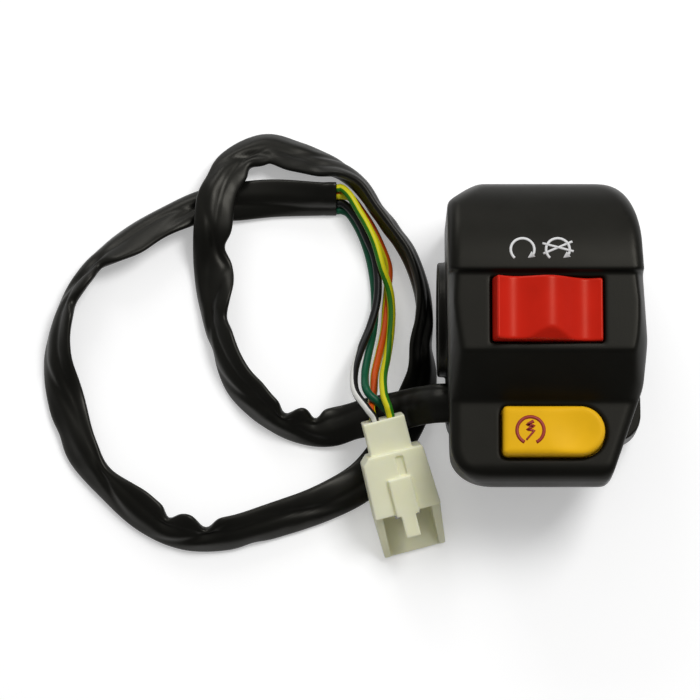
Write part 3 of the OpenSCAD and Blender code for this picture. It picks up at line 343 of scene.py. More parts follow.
def build_front():
    step = FRONT_STEP
    low, high = (-26.0, -42.0, -1.08), (25.0, 32.0, 28.8)
    x, y, z = lattice(low, high, step)
    plan = polygon_field(x[:, :, 0], y[:, :, 0], front_outline())[:, :, None]
    yy = y[:1, :, :1]
    ys = np.linspace(-45, 35, 1601)
    # The panel's bends are eased, and the lip above it stays sharp
    tops = top_z(ys)
    lip = ys >= LIP_Y
    kernel = np.exp(-0.5 * (np.arange(-30, 31) / 6.0) ** 2)
    kernel /= kernel.sum()
    below = np.convolve(np.where(lip, PANEL_Z, tops), kernel, "same")
    tops = np.where(lip, tops, below)
    zt = np.interp(yy, ys, tops)
    incline = 1 / np.sqrt(1 + np.minimum(np.interp(yy, ys, np.gradient(tops, ys)) ** 2, 9))
    # How far the sides lean in towards the panel, and how deep below it they begin to
    band = np.interp(yy, [-CHIN_Y, CHIN_START_Y, SLOPE_Y, RECESS_Y, -4, 0, LIP_Y],
                     [1.0, 1.2, 1.5, 2.9, 1.8, 1.5, 1.9])
    drop = np.interp(yy, [-CHIN_Y, SLOPE_Y, RECESS_Y, LIP_Y], [1.2, 1.6, 7, 7])
    crown = yy >= LIP_Y
    r = np.interp(yy, [LIP_Y, TOP_Y], [2.4, 3.2])
    s = np.clip((z - zt + drop) / drop, 0, 1.2)
    side = plan + np.where(crown, 0, band * s * s)
    roof = (z - zt) * incline
    over, out = np.maximum(roof + r, 0), np.maximum(plan + r, 0)
    rounded = np.minimum(np.maximum(roof, plan) + r, 0) + np.sqrt(over * over + out * out) - r
    outer = np.where(crown, rounded, smooth_max(side, roof, 0.7))
    outer = np.maximum(outer, (under_z(yy) - z) * 0.8)
    zi = np.interp(yy, ys, top_z(ys)) - SKIN
    inner = np.maximum(side + WALL, (z - zi) * incline)
    floor = np.where(yy < -REAR_Y + WALL, under_z(yy) + CHIN_SKIN, -5)
    inner = np.maximum(inner, np.maximum(floor - z, yy - (TOP_Y - WALL)))
    shell = np.maximum(outer, -inner)
    shell = np.minimum(shell, collars(x, y, z))
    for cx, cy in CLAMPS:
        roof_z = float(top_z(cy + math.copysign(BOSS_R, cy))) - 1
        shell = np.minimum(shell, rod(x - cx, y - cy, BOSS_R, z, -2, roof_z))
        shell = np.maximum(shell, -rod(x - cx, y - cy, INSERT_R, z, -3, INSERT_TOP))
        shell = np.maximum(shell, -rod(x - cx, y - cy, SCREW_R, z, -3, SCREW_TOP))
    for sx in (-PILLAR_X, PILLAR_X):
        shell = np.minimum(shell, rod(x - sx, y - PIVOT[1], PILLAR_R, z, PILLAR_LOW, PIVOT[2]))
        bore = rod(x - sx, y - PIVOT[1], PILLAR_BORE_R, z, PILLAR_LOW - 1, PILLAR_BORE_TOP)
        shell = np.maximum(shell, -bore)
    shell = np.maximum(shell, -(np.sqrt(y * y + z * z) - BORE_R))
    shell = np.maximum(shell, -loom_slot(x, y, z))
    hole = np.maximum(np.abs(x) - ROCKER_R, np.abs(y - PIVOT[1]) - ROCKER_Y / 2) - ROCKER_GAP
    hole = np.maximum(hole, ROCKER_HOLE_Z - z)
    shell = np.maximum(shell, -hole)
    d = polygon_field(x[:, :, 0], y[:, :, 0], button_outline(BUTTON_GAP))[:, :, None]
    shell = np.maximum(shell, -np.maximum(d, FLANGE_Z - z))
    shell = np.maximum(blur(shell), -z)
    points, quads = skin(shell, low, step)
    obj = add_mesh("front_shell", points, quads, "housing", [shell_black])
    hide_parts("front_housing")


def build_rear():
    step = REAR_STEP
    low, high = (-26.0, -31.0, -16.8), (25.0, 32.0, 1.2)
    x, y, z = lattice(low, high, step)
    plan = polygon_field(x[:, :, 0], y[:, :, 0], soften(rear_outline(0), 0.35, 0.8))[:, :, None]
    sunk = np.clip((-REAR_DEPTH + REAR_ROUND_H - z) / REAR_ROUND_H, 0, 0.999)
    outer = smooth_max(plan + REAR_ROUND_IN * (1 - ellipse_at(sunk)), -REAR_DEPTH - z, 0.5)
    inner_plan = polygon_field(x[:, :, 0], y[:, :, 0], rear_outline(WALL))[:, :, None]
    cut = [(float(right_x(v)) - WALL - 0.3, v) for v in (0, CUT_Y, -CHIN_Y + 2)]
    cut = polygon_field(x[:, :, 0], y[:, :, 0], cut + [(-HALF_W, -CHIN_Y + 2), (-HALF_W, 0)])[:, :, None]
    saddle = COLLAR_R + 0.7
    well = np.maximum(inner_plan, REAR_FLOOR - REAR_DEPTH - z)
    pockets = np.minimum(np.maximum(well, saddle - y), np.maximum(np.maximum(well, cut), y + saddle))
    shell = np.maximum(outer, -pockets)
    shell = np.minimum(shell, collars(x, y, z))
    for cx, cy in CLAMPS:
        shell = np.minimum(shell, rod(x - cx, y - cy, REAR_BOSS_R, z, REAR_FLOOR - REAR_DEPTH, 2))
        shell = np.maximum(shell, -rod(x - cx, y - cy, REAR_HOLE_R, z, -20, 5))
        shell = np.maximum(shell, -rod(x - cx, y - cy, HEAD_R, z, -20, HEAD_FLOOR_Z))
    shell = np.maximum(shell, -(np.sqrt(y * y + z * z) - BORE_R))
    shell = np.maximum(shell, -loom_slot(x, y, z))
    shell = np.maximum(np.maximum(blur(shell), z), -REAR_DEPTH - z)
    points, quads = skin(shell, low, step)
    points[:, 2] = np.clip(points[:, 2], -REAR_DEPTH, 0)
    obj = add_mesh("rear_shell", points, quads, "housing", [shell_black])
    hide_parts("rear_housing")


def to_rocker(points):
    c, s = math.cos(REST_TILT), math.sin(REST_TILT)
    p = np.asarray(points, float)
    return PIVOT + np.stack([c * p[:, 0] + s * p[:, 2], p[:, 1], -s * p[:, 0] + c * p[:, 2]], 1)


def build_rocker():
    step = ROCKER_STEP
    low, high = (-13.6, -7.8, -5.0), (13.6, 7.8, 5.6)
    x, y, z = lattice(low, high, step)
    k = math.pi / PAD_X
    wave = ROCKER_TOP + RIDGE_H * np.cos(k * x)
    tilt = 1 / np.sqrt(1 + (RIDGE_H * k * np.sin(k * x)) ** 2)
    body = smooth_max((z - wave) * tilt, np.sqrt(x * x + z * z) - ROCKER_R, 0.45)
    scoop = (z - ROCKER_TOP + 0.4 * RIDGE_H) * math.cos(SCOOP_TILT)
    scoop = scoop - (y + ROCKER_Y / 2) * math.sin(SCOOP_TILT)
    body = smooth_max(body, np.where(np.abs(x) < PAD_X, scoop, -5), 0.4)
    body = smooth_max(body, np.abs(y) - ROCKER_Y / 2, 0.5)
    body = np.maximum(body, ROCKER_LOW - z)
    hollow = np.maximum(np.maximum(np.abs(x) - ROCKER_R + ROCKER_WALL, np.abs(y) - HOLLOW_Y), z - HOLLOW_TOP)
    body = np.maximum(body, -hollow)
    for s in (-1, 1):
        body = np.maximum(body, -rod(x, z, PIN_HEAD_R, s * y, 3.6, 5.95))
    body = np.minimum(body, rod(x, y, STEM_R, z, STEM_LOW, 1.1))
    body = np.maximum(body, -rod(x, y, STEM_BORE_R, z, -6, 3))
    for s in (-1, 1):
        body = np.maximum(body, -rod(x, z, PIN_R, s * y, 5.8, 9))
    points, quads = skin(blur(body), low, step)
    obj = add_mesh("rocker_cap", to_rocker(points), quads, "rocker", [rocker_red])
    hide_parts("stop_rocker")


def build_button():
    step = BUTTON_STEP
    low, high = (-12.0, -37.0, 6.4), (15.4, -21.0, 21.0)
    x, y, z = lattice(low, high, step)
    d = polygon_field(x[:, :, 0], y[:, :, 0], button_outline(0))[:, :, None]
    cap = smooth_max(d, z - BUTTON_TOP, 1.6)
    high_z = z - BUTTON_TOP - DISH_R + DISH_DEPTH
    dish = np.sqrt((x - DISH_X) ** 2 + (y - BUTTON_C) ** 2 + high_z ** 2) - DISH_R
    cap = smooth_max(cap, -dish, 0.5)
    cap = np.maximum(cap, BUTTON_LOW - z)
    flange = polygon_field(x[:, :, 0], y[:, :, 0], button_outline(FLANGE_W))[:, :, None]
    cap = np.minimum(cap, np.maximum(flange, np.maximum(FLANGE_Z - z, z - FLANGE_Z - FLANGE_T)))
    inner = polygon_field(x[:, :, 0], y[:, :, 0], button_outline(-BUTTON_WALL))[:, :, None]
    cap = np.maximum(cap, -np.maximum(inner, z - BUTTON_TOP + BUTTON_ROOF))
    cap = np.minimum(cap, rod(x - SPRING_X, y - BUTTON_C, POST_R, z, BRIDGE_TOP, BUTTON_TOP - 1.5))
    cap = np.maximum(cap, -rod(x - SPRING_X, y - BUTTON_C, POST_BORE_R, z, 0, BUTTON_TOP - BUTTON_ROOF))
    points, quads = skin(blur(cap), low, step)
    obj = add_mesh("button_cap", points, quads, "button", [button_yellow])
    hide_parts("start_button")


# Loom

FLOOR_GAP = 0.15


def lying_z(roll):
    """Height of the sleeve's middle where it lies on the floor, rolled by so many degrees."""
    a = math.radians(roll)
    return FLOOR_GAP - REAR_DEPTH + math.hypot(SLEEVE_W / 2 * math.sin(a), SLEEVE_T / 2 * math.cos(a))


EXIT_LIFT = REAR_DEPTH - SLEEVE_T / 2 - FLOOR_GAP
OVER_EXIT, OVER_END, MOUTH_X = EXIT_LIFT - 8.4, 4.6, -48.0
# Points of the sleeve along its way: x, y, lift above where it would lie, and roll in degrees
SLEEVE = [
    (-16.5, EXIT_Y, EXIT_LIFT, 0), (-23.5, EXIT_Y, EXIT_LIFT, 0), (-26.5, EXIT_Y, EXIT_LIFT - 1.8, 0),
    (-29.5, EXIT_Y, EXIT_LIFT - 5.4, 0), (-33, -19.9, OVER_EXIT, 0), (-39.5, -21.2, OVER_EXIT - 0.5, 0),
    (-46, -22.7, 1.4, 10), (-53, -23.4, 0, 32), (-61, -21.4, 0, 50), (-68.4, -15.3, 0, 46),
    (-73.6, -6.3, 0, 52), (-76.2, 4, 0, 48), (-77, 15, 0.8, 15), (-76.8, 24, OVER_END, 0),
    (-75.6, 32.7, OVER_END, 0), (-71.6, 39.3, 2, 15), (-64.6, 43.4, 0, 30), (-57.5, 41.7, 0, 34),
    (-51.6, 39.5, 0, 42), (-46.4, 37.5, 0, 68), (-42.4, 34.1, 0, 90), (-38.8, 28.9, 0, 90),
    (-34.9, 23.5, 0, 90), (-30.8, 17.4, 0, 90), (-28, 9.5, 0, 84), (-27.3, 2.5, 0, 70), (-28.1, -4, 0, 60),
    (-27.9, -11, 0, 42), (-30.4, -19, 0, 12), (-35, -27.5, 0, 0), (-41.5, -35.5, 0, 10), (-51, -41, 0, 28),
    (-62, -45, 0, 35), (-73, -48.2, 0, 42), (-83, -48.2, 0, 42), (-92, -44, 0, 36), (-100.3, -36.8, 0, 40),
    (-107.3, -28.2, 0, 32), (-111, -17, 0, 20), (-113, -6, 0, 50), (-111, 5, 0, 66), (-105.5, 14, 0, 62),
    (-96.2, 21.2, 0, 40), (-86, 26.8, 0, 34), (-76, 30, 0, 0), (-64, 31.5, 0, -25),
    (MOUTH_X - 4, 31.2, 0, -45), (MOUTH_X - 2, 31.2, 0, -45), (MOUTH_X, 31.2, 0, -45)]
# Buckles of the sleeve's inner edge: place along it, depth (bulges below zero) and spread
BUCKLES = [
    (41, 2.2, 1.8), (45, -0.5, 2), (49, 2.9, 1.8), (58, -0.7, 4), (78, 1.3, 2.6), (86, -1.0, 5),
    (96, 1.6, 2.8), (120, 1.5, 2.2), (133, -0.6, 4), (268, 2.8, 2.2), (273, -0.7, 2.5), (278, 2.3, 1.8),
    (286, -0.6, 4), (297, 1.8, 5), (341, 1.8, 2.2), (352, 2.2, 2.4), (362, -0.9, 5), (381, 1.4, 5)]
# Kinks of its outer edge, likewise, and folds across it: place, place across, slant, depth, reach
KINKS = [
    (32, 0.6, 3), (63, -0.5, 4), (72, 1.1, 2.6), (112, 0.7, 3), (146, -0.5, 5), (258, 0.6, 3),
    (310, 0.7, 3), (330, -0.4, 5)]
FOLDS = [
    (44, -0.1, 0.09, 0.26, 7), (62, -0.3, -0.08, 0.24, 6), (82, 0.1, 0.07, 0.26, 8),
    (97, 0.2, -0.09, 0.3, 8), (121, 0.1, 0.1, 0.32, 7), (138, -0.1, -0.06, 0.24, 9),
    (156, 0.1, 0.07, 0.22, 8), (243, 0.0, 0.06, 0.22, 9), (271, -0.1, -0.09, 0.3, 8),
    (296, 0.2, 0.08, 0.28, 7), (318, 0.0, -0.06, 0.24, 9), (346, 0.2, 0.09, 0.3, 8),
    (379, 0.0, -0.08, 0.24, 8)]


def spline(points, steps):
    """Curve through the points, as the part's source draws it."""
    p = np.asarray(points, float)
    p = np.vstack([p[:1], p, p[-1:]])
    out = []
    for i in range(1, len(p) - 2):
        for t in np.arange(steps) / steps:
            a, b, c, d = p[i - 1:i + 3]
            square, cube = 2 * a - 5 * b + 4 * c - d, 3 * b - a - 3 * c + d
            out.append(0.5 * (2 * b + (c - a) * t + square * t * t + cube * t ** 3))
    out.append(p[-2])
    return np.array(out)


def frames(path):
    d = np.gradient(path, axis=0)
    d /= np.linalg.norm(d, axis=1)[:, None]
    side = np.stack([d[:, 1], -d[:, 0], 0 * d[:, 0]], 1)
    side /= np.maximum(np.linalg.norm(side, axis=1), 1e-6)[:, None]
    return d, side, np.cross(side, d)


def even(rows, gap):
    run = np.concatenate([[0], np.cumsum(np.linalg.norm(np.diff(rows[:, :3], axis=0), axis=1))])
    n = int(run[-1] / gap)
    s = np.linspace(0, run[-1], n + 1)
    return np.stack([np.interp(s, run, rows[:, k]) for k in range(rows.shape[1])], 1), run[-1]


def loft(rings, tags):
    """Points, faces and material tags of a closed skin over the rings, one tag for each side of a ring."""
    n, m = len(rings), len(rings[0])
    faces = [(i * m + k, i * m + (k + 1) % m, (i + 1) * m + (k + 1) % m, (i + 1) * m + k)
             for i in range(n - 1) for k in range(m)]
    faces += [tuple(range(m))[::-1], tuple((n - 1) * m + k for k in range(m))]
    return np.concatenate(rings), faces, list(tags) * (n - 1) + [tags[0]] * 2


def joined(name, parts, body, mats):
    points, faces, tags, base = [], [], [], 0
    for p, f, t in parts:
        points.append(p)
        faces += [tuple(k + base for k in face) for face in f]
        tags += t
        base += len(p)
    return add_mesh(name, np.concatenate(points), faces, body, mats, indices=tags)


def build_sleeve():
    gap, sides = 0.7, 56
    rows = np.array([(x, y, lift + lying_z(roll), roll) for x, y, lift, roll in SLEEVE])
    rows, length = even(spline(rows, 8), gap)
    d, side, up = frames(rows[:, :3])
    a = np.arange(sides) * 2 * math.pi / sides
    u = np.cos(a)
    thick = np.sign(np.sin(a)) * np.abs(np.sin(a)) ** 0.85
    rings = []
    for i, row in enumerate(rows):
        s = i * gap
        roll = math.radians(row[3])
        broad = side[i] * math.cos(roll) + up[i] * math.sin(roll)
        thin = np.cross(broad, d[i])
        pull = sum(depth * math.exp(-((s - at) / spread) ** 2) for at, depth, spread in BUCKLES)
        core = -0.2 + 0.3 * math.sin(s * 0.045 + 0.5) + 0.12 * math.sin(s * 0.13)
        # The wires make one round bulge, beside which the sleeve is flat and creased
        form = 0.74 + 0.3 * np.exp(-((u - core) / 0.42) ** 2) - 0.12 * np.exp(-((u - core - 0.52) / 0.1) ** 2)
        form += 0.03 * np.sin(0.55 * s + 2.3 * math.sin(0.23 * s) + 3 * u)
        form -= 0.09 * max(pull, 0) * np.exp(-((u - 0.25) / 0.3) ** 2)
        for at, mid, slant, depth, reach in FOLDS:
            if abs(s - at) < 3 * reach:
                line = np.exp(-((u - mid - slant * (s - at)) / 0.2) ** 2)
                form -= depth * math.exp(-((s - at) / reach) ** 2) * line
        push = sum(depth * math.exp(-((s - at) / spread) ** 2) for at, depth, spread in KINKS)
        across = SLEEVE_W / 2 * u - pull * np.clip(u, 0, 1) ** 1.5 + push * np.clip(-u, 0, 1) ** 1.5
        ring = row[:3] + across[:, None] * broad + (SLEEVE_T / 2 * form * thick)[:, None] * thin
        ring[:, 2] = np.maximum(ring[:, 2], 0.05 - REAR_DEPTH)
        rings.append(ring)
    # Turn the end inwards for an open mouth
    mid, last = rows[-1, :3], rings[-1]
    for depth, scale in ((0.15, 0.97), (0.0, 0.88), (-1.2, 0.86), (-6.0, 0.84)):
        rings.append(mid + d[-1] * depth + (last - mid) * scale)
    obj = joined("sleeve_tube", [loft(rings, [0] * sides)], "housing", [sleeve_black])
    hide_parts("loom_sleeve")
    return obj, [tuple(p * MM) for p in rows[:, :3]], length


PLUG_AT, POLE_X = np.array([-37.2, -22.8, -1.5]), 1.9
PLUG_YAW, PLUG_PITCH = math.radians(14.9), math.radians(15)


def from_plug(points):
    """Points of the plug's own frame, +Y from its mouth to its wire end, in the part's frame."""
    p = np.atleast_2d(np.asarray(points, float))
    cp, sp, cy, sy = math.cos(PLUG_PITCH), math.sin(PLUG_PITCH), math.cos(PLUG_YAW), math.sin(PLUG_YAW)
    y, z = p[:, 1] * cp - p[:, 2] * sp, p[:, 1] * sp + p[:, 2] * cp
    return PLUG_AT + np.stack([p[:, 0] * cy - y * sy, p[:, 0] * sy + y * cy, z], 1)


def plug_point(corner, depth):
    return from_plug([corner[0] * POLE_X, -depth, corner[1] * POLE_X])[0]


# Each wire: its start in the sleeve's mouth, its corner of the plug, its lean before it, its route, its two
# finishes, half the stripe's angle, and the stripe's turn along the wire
WIRES = {
    "wire_black_white": ((30.4, -12.6), (-1, 1), (-1.1, 0.3, 0), [
        (-44.7, 28.9, -12.5), (-42.5, 25.8, -12.4), (-40.7, 21.9, -12.4), (-38.9, 17.4, -12.4),
        (-38.1, 11.8, -12.4), (-38.4, 6.3, -12.3), (-39.9, 0.7, -11.5), (-42.1, -5.2, -9.4),
        (-43.6, -10.9, -6.4), (-43.4, -16.2, -2.8)],
        wire_black, wire_white, 40,
        [(0, 205), (0.22, 195), (0.46, 205), (0.5, 230), (0.56, 300), (0.62, 365), (0.67, 380),
         (0.73, 400), (0.85, 425), (1, 435)]),
    "wire_green": ((28.9, -14.2), (1, -1), (-1.1, -0.2, 0), [
        (-44.9, 28.1, -14.4), (-42.9, 25, -14.4), (-41.2, 21.1, -14.4), (-39.9, 16.6, -14.4),
        (-39, 11, -14.4), (-38.8, 5, -14.4), (-39.3, -0.6, -13.4), (-40.5, -6.9, -10),
        (-41.2, -12, -6.6), (-40.6, -16.5, -2.2)],
        wire_green, wire_green, 0, [(0, 0), (1, 0)]),
    "wire_yellow_green": ((33.3, -9.6), (1, 1), (0, 0, 0), [
        (-44.7, 31.4, -9.3), (-42.6, 27.8, -9.4), (-40.6, 24.3, -9.6), (-38.7, 20, -10.0),
        (-37.1, 14.4, -10.7), (-35.4, 9.4, -12.2), (-34.9, 4.2, -12.6), (-35.2, -1.4, -11.6),
        (-36, -7.1, -9.2), (-36.9, -12.3, -5.2), (-36.8, -17.2, -0.9)],
        wire_yellow, stripe_green, 38,
        [(0, 40), (0.34, 45), (0.46, 75), (0.58, 75), (0.67, 110), (0.73, 125), (0.85, 140), (1, 145)]),
    "wire_yellow_red": ((31.9, -11.2), (-1, -1), (0, 0, 0), [
        (-44.4, 31.3, -11.3), (-42, 28.2, -11.5), (-39.8, 24.9, -11.9), (-37.6, 20.6, -12.8),
        (-35.6, 15.3, -14.2), (-35.8, 10.1, -14.4), (-36.2, 5.5, -14.4), (-36.6, 0, -13.2),
        (-37.7, -5.6, -11), (-38.9, -11.3, -8.2), (-39.2, -15.8, -6.6)],
        wire_yellow, stripe_red, 46,
        [(0, 150), (0.3, 150), (0.4, 125), (0.5, 110), (0.58, 95), (0.67, 90), (1, 90)])}


def tube(path, r, tags=(0, 0), half=0.0, turn=((0, 0), (1, 0)), sides=24):
    """A tube along the path. Its stripe is half wide each way and turns along it."""
    d, side, up = frames(path)
    a = np.arange(sides) * 2 * math.pi / sides
    way = np.linspace(0, 1, len(path))
    twist = np.radians(np.interp(way, [k for k, _ in turn], [v for _, v in turn]) - 180 / sides)
    rings = [p + r * (np.cos(a + t)[:, None] * side[i] + np.sin(a + t)[:, None] * up[i])
             for i, (p, t) in enumerate(zip(path, twist))]
    rings[:0] = [path[0] + (rings[0] - path[0]) * 0.8 - d[0] * 0.02]
    rings.append(path[-1] + (rings[-1] - path[-1]) * 0.8 + d[-1] * 0.02)
    marked = [tags[1] if abs((m + 180) % 360 - 180) < half else tags[0] for m in np.degrees(a)]
    return loft(rings, marked)


def build_wires():
    made = []
    for name, ((y, z), corner, lean, route, main, mark, half, turn) in WIRES.items():
        start = [(MOUTH_X + 0.05 + k, y, z) for k in (0, 0.7, 1.4)]
        end = [plug_point(corner, -2.6) + lean, plug_point(corner, -0.6), plug_point(corner, 3)]
        path, length = even(spline(np.vstack([start, route, end]), 8), 0.5)
        obj = joined(name + "_tube", [tube(path, WIRE_D / 2, (0, 1), half, turn)], "housing", [main, mark])
        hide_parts(name)
        made.append((obj, [tuple(p * MM) for p in path], length, tuple(path[0] * MM)))
    return made


# Springs and the wires' ends inside the housing

def helix(r, wire, low, length, turns):
    t = np.linspace(0, 1, turns * 24 + 1)
    a = 2 * math.pi * turns * t
    return np.stack([r * np.cos(a), r * np.sin(a), low + wire / 2 + (length - wire) * t], 1)


def build_springs():
    low, length, travel = 5.05, BUTTON_TOP - 7.1, 3.0
    path = helix(2.4, 0.6, low, length, 7) + np.array([SPRING_X, BUTTON_C, 0])
    obj = joined("return_coil", [tube(path, 0.3, sides=12)], "housing", [spring_steel])
    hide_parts("start_return_spring")
    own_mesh(obj)
    top, length, travel = 2.95, 3.7, 0.5
    path = to_rocker(helix(1.2, 0.4, top - length, length, 4))
    obj = joined("plunger_coil", [tube(path, 0.2, sides=12)], "rocker", [spring_steel])
    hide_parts("plunger_spring")
    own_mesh(obj)


LEAD_X = -16.4
STOP_LEADS = [
    [(LEAD_X, EXIT_Y + 3, 0), (LEAD_X + 1.4, EXIT_Y + 3, 0), (-13.9, -15.8, 2.2), (-12.8, -14.9, 8.5),
     (-9.4, -15.4, 13.6), (-7.2, -14.9, 15.4), (-7.2, -12.9, 15.5)],
    [(LEAD_X, EXIT_Y + 1, 0), (LEAD_X + 1.4, EXIT_Y + 1, 0), (-12.8, -17.4, 2.6), (-9.5, -16.5, 6.5),
     (-4, -16.4, 12), (-0.8, -16.2, 15), (0, -14.9, 15.4), (0, -12.9, 15.5)]]
LOW_STRIP_Y = BUTTON_C - 3.2
START_LEADS = [
    [(LEAD_X, EXIT_Y - 1, 0), (LEAD_X + 1.4, EXIT_Y - 1, 0), (-13.4, -21.2, 1.6), (-12.6, -22.6, 4),
     (-12.6, -24.2, 5.3), (-12.6, BUTTON_C + 3.55, 5.3)],
    [(LEAD_X, EXIT_Y - 3, 0), (LEAD_X + 1.2, EXIT_Y - 3, 0), (-14.4, -23.8, 1.4), (-15, -26.4, 3.9),
     (-15.4, -29.4, 5.1), (-15, -31.6, 5.3), (-13.9, LOW_STRIP_Y, 5.3), (-12.25, LOW_STRIP_Y, 5.3)]]


def build_leads():
    for name, node, routes, mats, slot in (
            ("stop_lead_ends", "stop_leads", STOP_LEADS, [wire_black, wire_green], "wire_green"),
            ("start_lead_ends", "start_leads", START_LEADS, [wire_yellow, wire_yellow], "wire_yellow_red")):
        parts = [tube(even(spline(route, 8), 0.5)[0], WIRE_D / 2, (k, k)) for k, route in enumerate(routes)]
        obj = joined(name, parts, "housing", mats)
        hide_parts(node)


# Printed signs

SIGN_FOOT, SIGN_RISE = 0.15, 0.05
RUN_AT, OFF_AT, START_AT = (-5.65, 11.3), (2.34, 11.3), (-3.87, -29.0)


def ribbon(line, widths, height):
    """A thin raised strip along a line, as wide as given at each point, on a surface of that height."""
    line, widths = np.asarray(line, float), np.broadcast_to(widths, len(line))
    run = np.gradient(line, axis=0)
    run /= np.linalg.norm(run, axis=1)[:, None]
    across = np.stack([-run[:, 1], run[:, 0]], 1) * widths[:, None] / 2
    rings = []
    for p, q in zip(line - across, line + across):
        zp, zq = float(height(p[1])), float(height(q[1]))
        rings.append(np.array([(*p, zp - SIGN_FOOT), (*p, zp + SIGN_RISE),
                               (*q, zq + SIGN_RISE), (*q, zq - SIGN_FOOT)]))
    return loft(rings, [0] * 4)


def arc(center, r, start, end):
    t = np.radians(np.linspace(start, end, 49))
    return np.stack([center[0] + r * np.cos(t), center[1] + r * np.sin(t)], 1)


def straight(start, end, n=13):
    return np.linspace(start, end, n)


def turn_sign(center):
    """An open ring with an arrowhead at its right end."""
    base, tip = np.array(center) + (2.44, -1.09), np.array(center) + (1.2, -1.98)
    return [ribbon(arc(center, 2.67, 228, -27), 0.58, top_z),
            ribbon(straight(base, tip, 7), np.linspace(1.55, 0.06, 7), top_z)]


def build_signs():
    joined("run_sign", turn_sign(RUN_AT), "housing", [icon_white])
    off = np.array(OFF_AT)
    cross = [ribbon(straight(off + p, off + q), 0.52, top_z)
             for p, q in (((-3.48, 1.49), (3.57, -0.45)), ((-3.31, -1.0), (3.31, 1.92)))]
    joined("off_sign", turn_sign(off) + cross, "housing", [icon_white])
    mid = np.array(START_AT)

    def flat(y):
        return BUTTON_TOP
    bolt = [(0.75, 2.1), (-0.75, 1.25), (0.85, 1.0), (-0.75, 0.1), (0.9, -0.1), (-0.95, -2.25)]
    zig = np.vstack([straight(p, q, 7)[:-1] for p, q in zip(bolt, bolt[1:])] + [bolt[-1:]]) + mid
    ring = ribbon(arc(mid, 3.05, 244, -64), 0.78, flat)
    joined("start_sign", [ring, ribbon(zig, np.linspace(0.75, 0.45, len(zig)), flat)], "button", [icon_red])


# Camera, floor and light

PHOTO_PX, FOCAL_PX, CAMERA_TILT, CAMERA_FAR = 700, 4320, math.radians(10), 1.0
CAMERA_AIM, FLOOR_REACH, FLOOR_GLOW = (-44.66, -7.05, 0), 6.0, 0.32
NEAR_LEVEL, FAR_LEVEL, LAMP_SIZE = 0.19, 0.45, 0.4


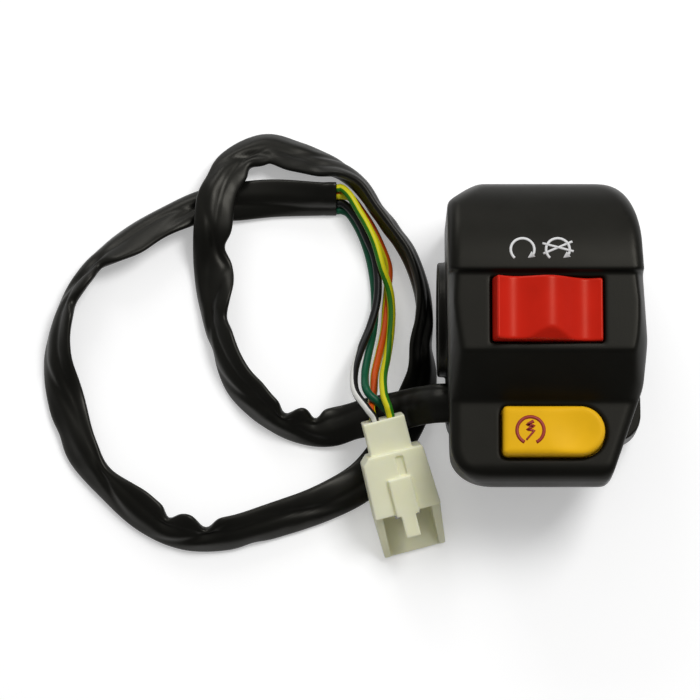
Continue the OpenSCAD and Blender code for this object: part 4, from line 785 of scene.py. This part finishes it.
def build_stage():
    scene = bpy.context.scene
    data = bpy.data.cameras.new("camera")
    data.sensor_width = 36
    data.lens = data.sensor_width * FOCAL_PX / PHOTO_PX
    data.clip_start, data.clip_end = 0.01, 20
    cam = bpy.data.objects.new("camera", data)
    scene.collection.objects.link(cam)
    back = Vector((0, -math.sin(CAMERA_TILT), math.cos(CAMERA_TILT)))
    cam.location = Vector(CAMERA_AIM) * MM + back * CAMERA_FAR
    cam.rotation_euler = (CAMERA_TILT, 0, 0)
    scene.camera = cam
    scene.view_settings.view_transform = "Standard"

    mesh = bpy.data.meshes.new("floor")
    corners = [(FLOOR_REACH * i, FLOOR_REACH * j, -REAR_DEPTH * MM)
               for i, j in ((-1, -1), (1, -1), (1, 1), (-1, 1))]
    mesh.from_pydata(corners, [], [(0, 1, 2, 3)])
    floor = bpy.data.objects.new("floor", mesh)
    scene.collection.objects.link(floor)
    paint = bpy.data.materials.new("floor_white")
    paint.use_nodes = True
    tree = paint.node_tree
    make, join = tree.nodes.new, tree.links.new
    bsdf, out = tree.nodes["Principled BSDF"], tree.nodes["Material Output"]
    bsdf.inputs["Base Color"].default_value = (0.8, 0.8, 0.8, 1)
    bsdf.inputs["Roughness"].default_value = 0.9
    bsdf.inputs["Specular IOR Level"].default_value = 0.1
    # Where it is seen, a little light of its own brings the lit floor up to white and leaves the shadow
    glow, added = make("ShaderNodeEmission"), make("ShaderNodeAddShader")
    shown, path = make("ShaderNodeMixShader"), make("ShaderNodeLightPath")
    glow.inputs["Strength"].default_value = FLOOR_GLOW
    join(bsdf.outputs["BSDF"], added.inputs[0])
    join(glow.outputs["Emission"], added.inputs[1])
    seen = path.outputs["Is Camera Ray"]
    for ray in ("Is Glossy Ray", "Is Transmission Ray"):
        most = make("ShaderNodeMath")
        most.operation = "MAXIMUM"
        join(seen, most.inputs[0])
        join(path.outputs[ray], most.inputs[1])
        seen = most.outputs["Value"]
    join(seen, shown.inputs["Fac"])
    join(bsdf.outputs["BSDF"], shown.inputs[1])
    join(added.outputs["Shader"], shown.inputs[2])
    join(shown.outputs["Shader"], out.inputs["Surface"])
    mesh.materials.append(paint)

    # A soft room, bright at the far side and dim at the near side
    world = bpy.data.worlds.new("studio")
    scene.world = world
    world.use_nodes = True
    tree = world.node_tree
    make, join = tree.nodes.new, tree.links.new
    room = tree.nodes["Background"]
    coords, split = make("ShaderNodeTexCoord"), make("ShaderNodeSeparateXYZ")
    level = make("ShaderNodeMapRange")
    level.interpolation_type = "SMOOTHSTEP"
    level.inputs["From Min"].default_value, level.inputs["From Max"].default_value = -0.75, 0.35
    level.inputs["To Min"].default_value, level.inputs["To Max"].default_value = NEAR_LEVEL, FAR_LEVEL
    join(coords.outputs["Generated"], split.inputs["Vector"])
    join(split.outputs["Y"], level.inputs["Value"])
    room.inputs["Color"].default_value = (1, 1, 1, 1)
    join(level.outputs["Result"], room.inputs["Strength"])

    def lamp(name, place, power):
        light = bpy.data.lights.new(name, "AREA")
        light.shape, light.size, light.size_y = "RECTANGLE", LAMP_SIZE, LAMP_SIZE
        light.energy = power
        obj = bpy.data.objects.new(name, light)
        obj.location = place
        aim = Vector((-0.045, 0, 0)) - Vector(place)
        obj.rotation_euler = aim.to_track_quat("-Z", "Y").to_euler()
        scene.collection.objects.link(obj)

    lamp("key", (0.36, 0.36, 0.88), 6.5)
    lamp("fill", (-0.3, 0.85, 0.45), 2.4)


# Pieces that the part's source shapes in full

def finish_node(name, mat):
    obj = NODES[name]
    obj.data.materials.clear()
    obj.data.materials.append(mat)
    mod = obj.modifiers.new("soft_edges", "BEVEL")
    mod.width, mod.segments, mod.limit_method, mod.angle_limit = 0.12 * MM, 2, "ANGLE", math.radians(40)


def round_moulding(obj):
    """Round all edges of a moulded node: an even fine mesh, smoothed."""
    obj.modifiers.clear()
    mesh = obj.modifiers.new("fine_mesh", "REMESH")
    mesh.mode, mesh.voxel_size, mesh.use_smooth_shade = "VOXEL", 0.2 * MM, True
    ease = obj.modifiers.new("soft_edges", "SMOOTH")
    ease.factor, ease.iterations = 0.5, 6


build_stage()
sleeve, sleeve_path, sleeve_len = build_sleeve()
for obj, path, length, exit_at in build_wires():
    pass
build_front()
build_rear()
build_rocker()
build_button()
build_springs()
build_leads()
build_signs()
for name, mat, slot in (
        ("clamp_screws", zinc, "zinc_steel"), ("threaded_inserts", brass, "brass"),
        ("rocker_pivot_pins", zinc, "zinc_steel"), ("rocker_plunger", plunger_white, "plunger_white"),
        ("stop_base", base_brown, "base_brown"), ("stop_base_screws", zinc, "zinc_steel"),
        ("tumbler_contact", brass, "brass"), ("stop_common_terminal", brass, "brass"),
        ("stop_live_terminal", brass, "brass"), ("start_bridge", brass, "brass"),
        ("start_base", base_brown, "base_brown"), ("start_base_screws", zinc, "zinc_steel"),
        ("start_terminals", brass, "brass"), ("loom_tie", tie_black, "tie_black"),
        ("plug_housing", plug_nylon, "plug_nylon"), ("plug_terminals", tinned, "tinned")):
    finish_node(name, mat)
round_moulding(NODES["plug_housing"])
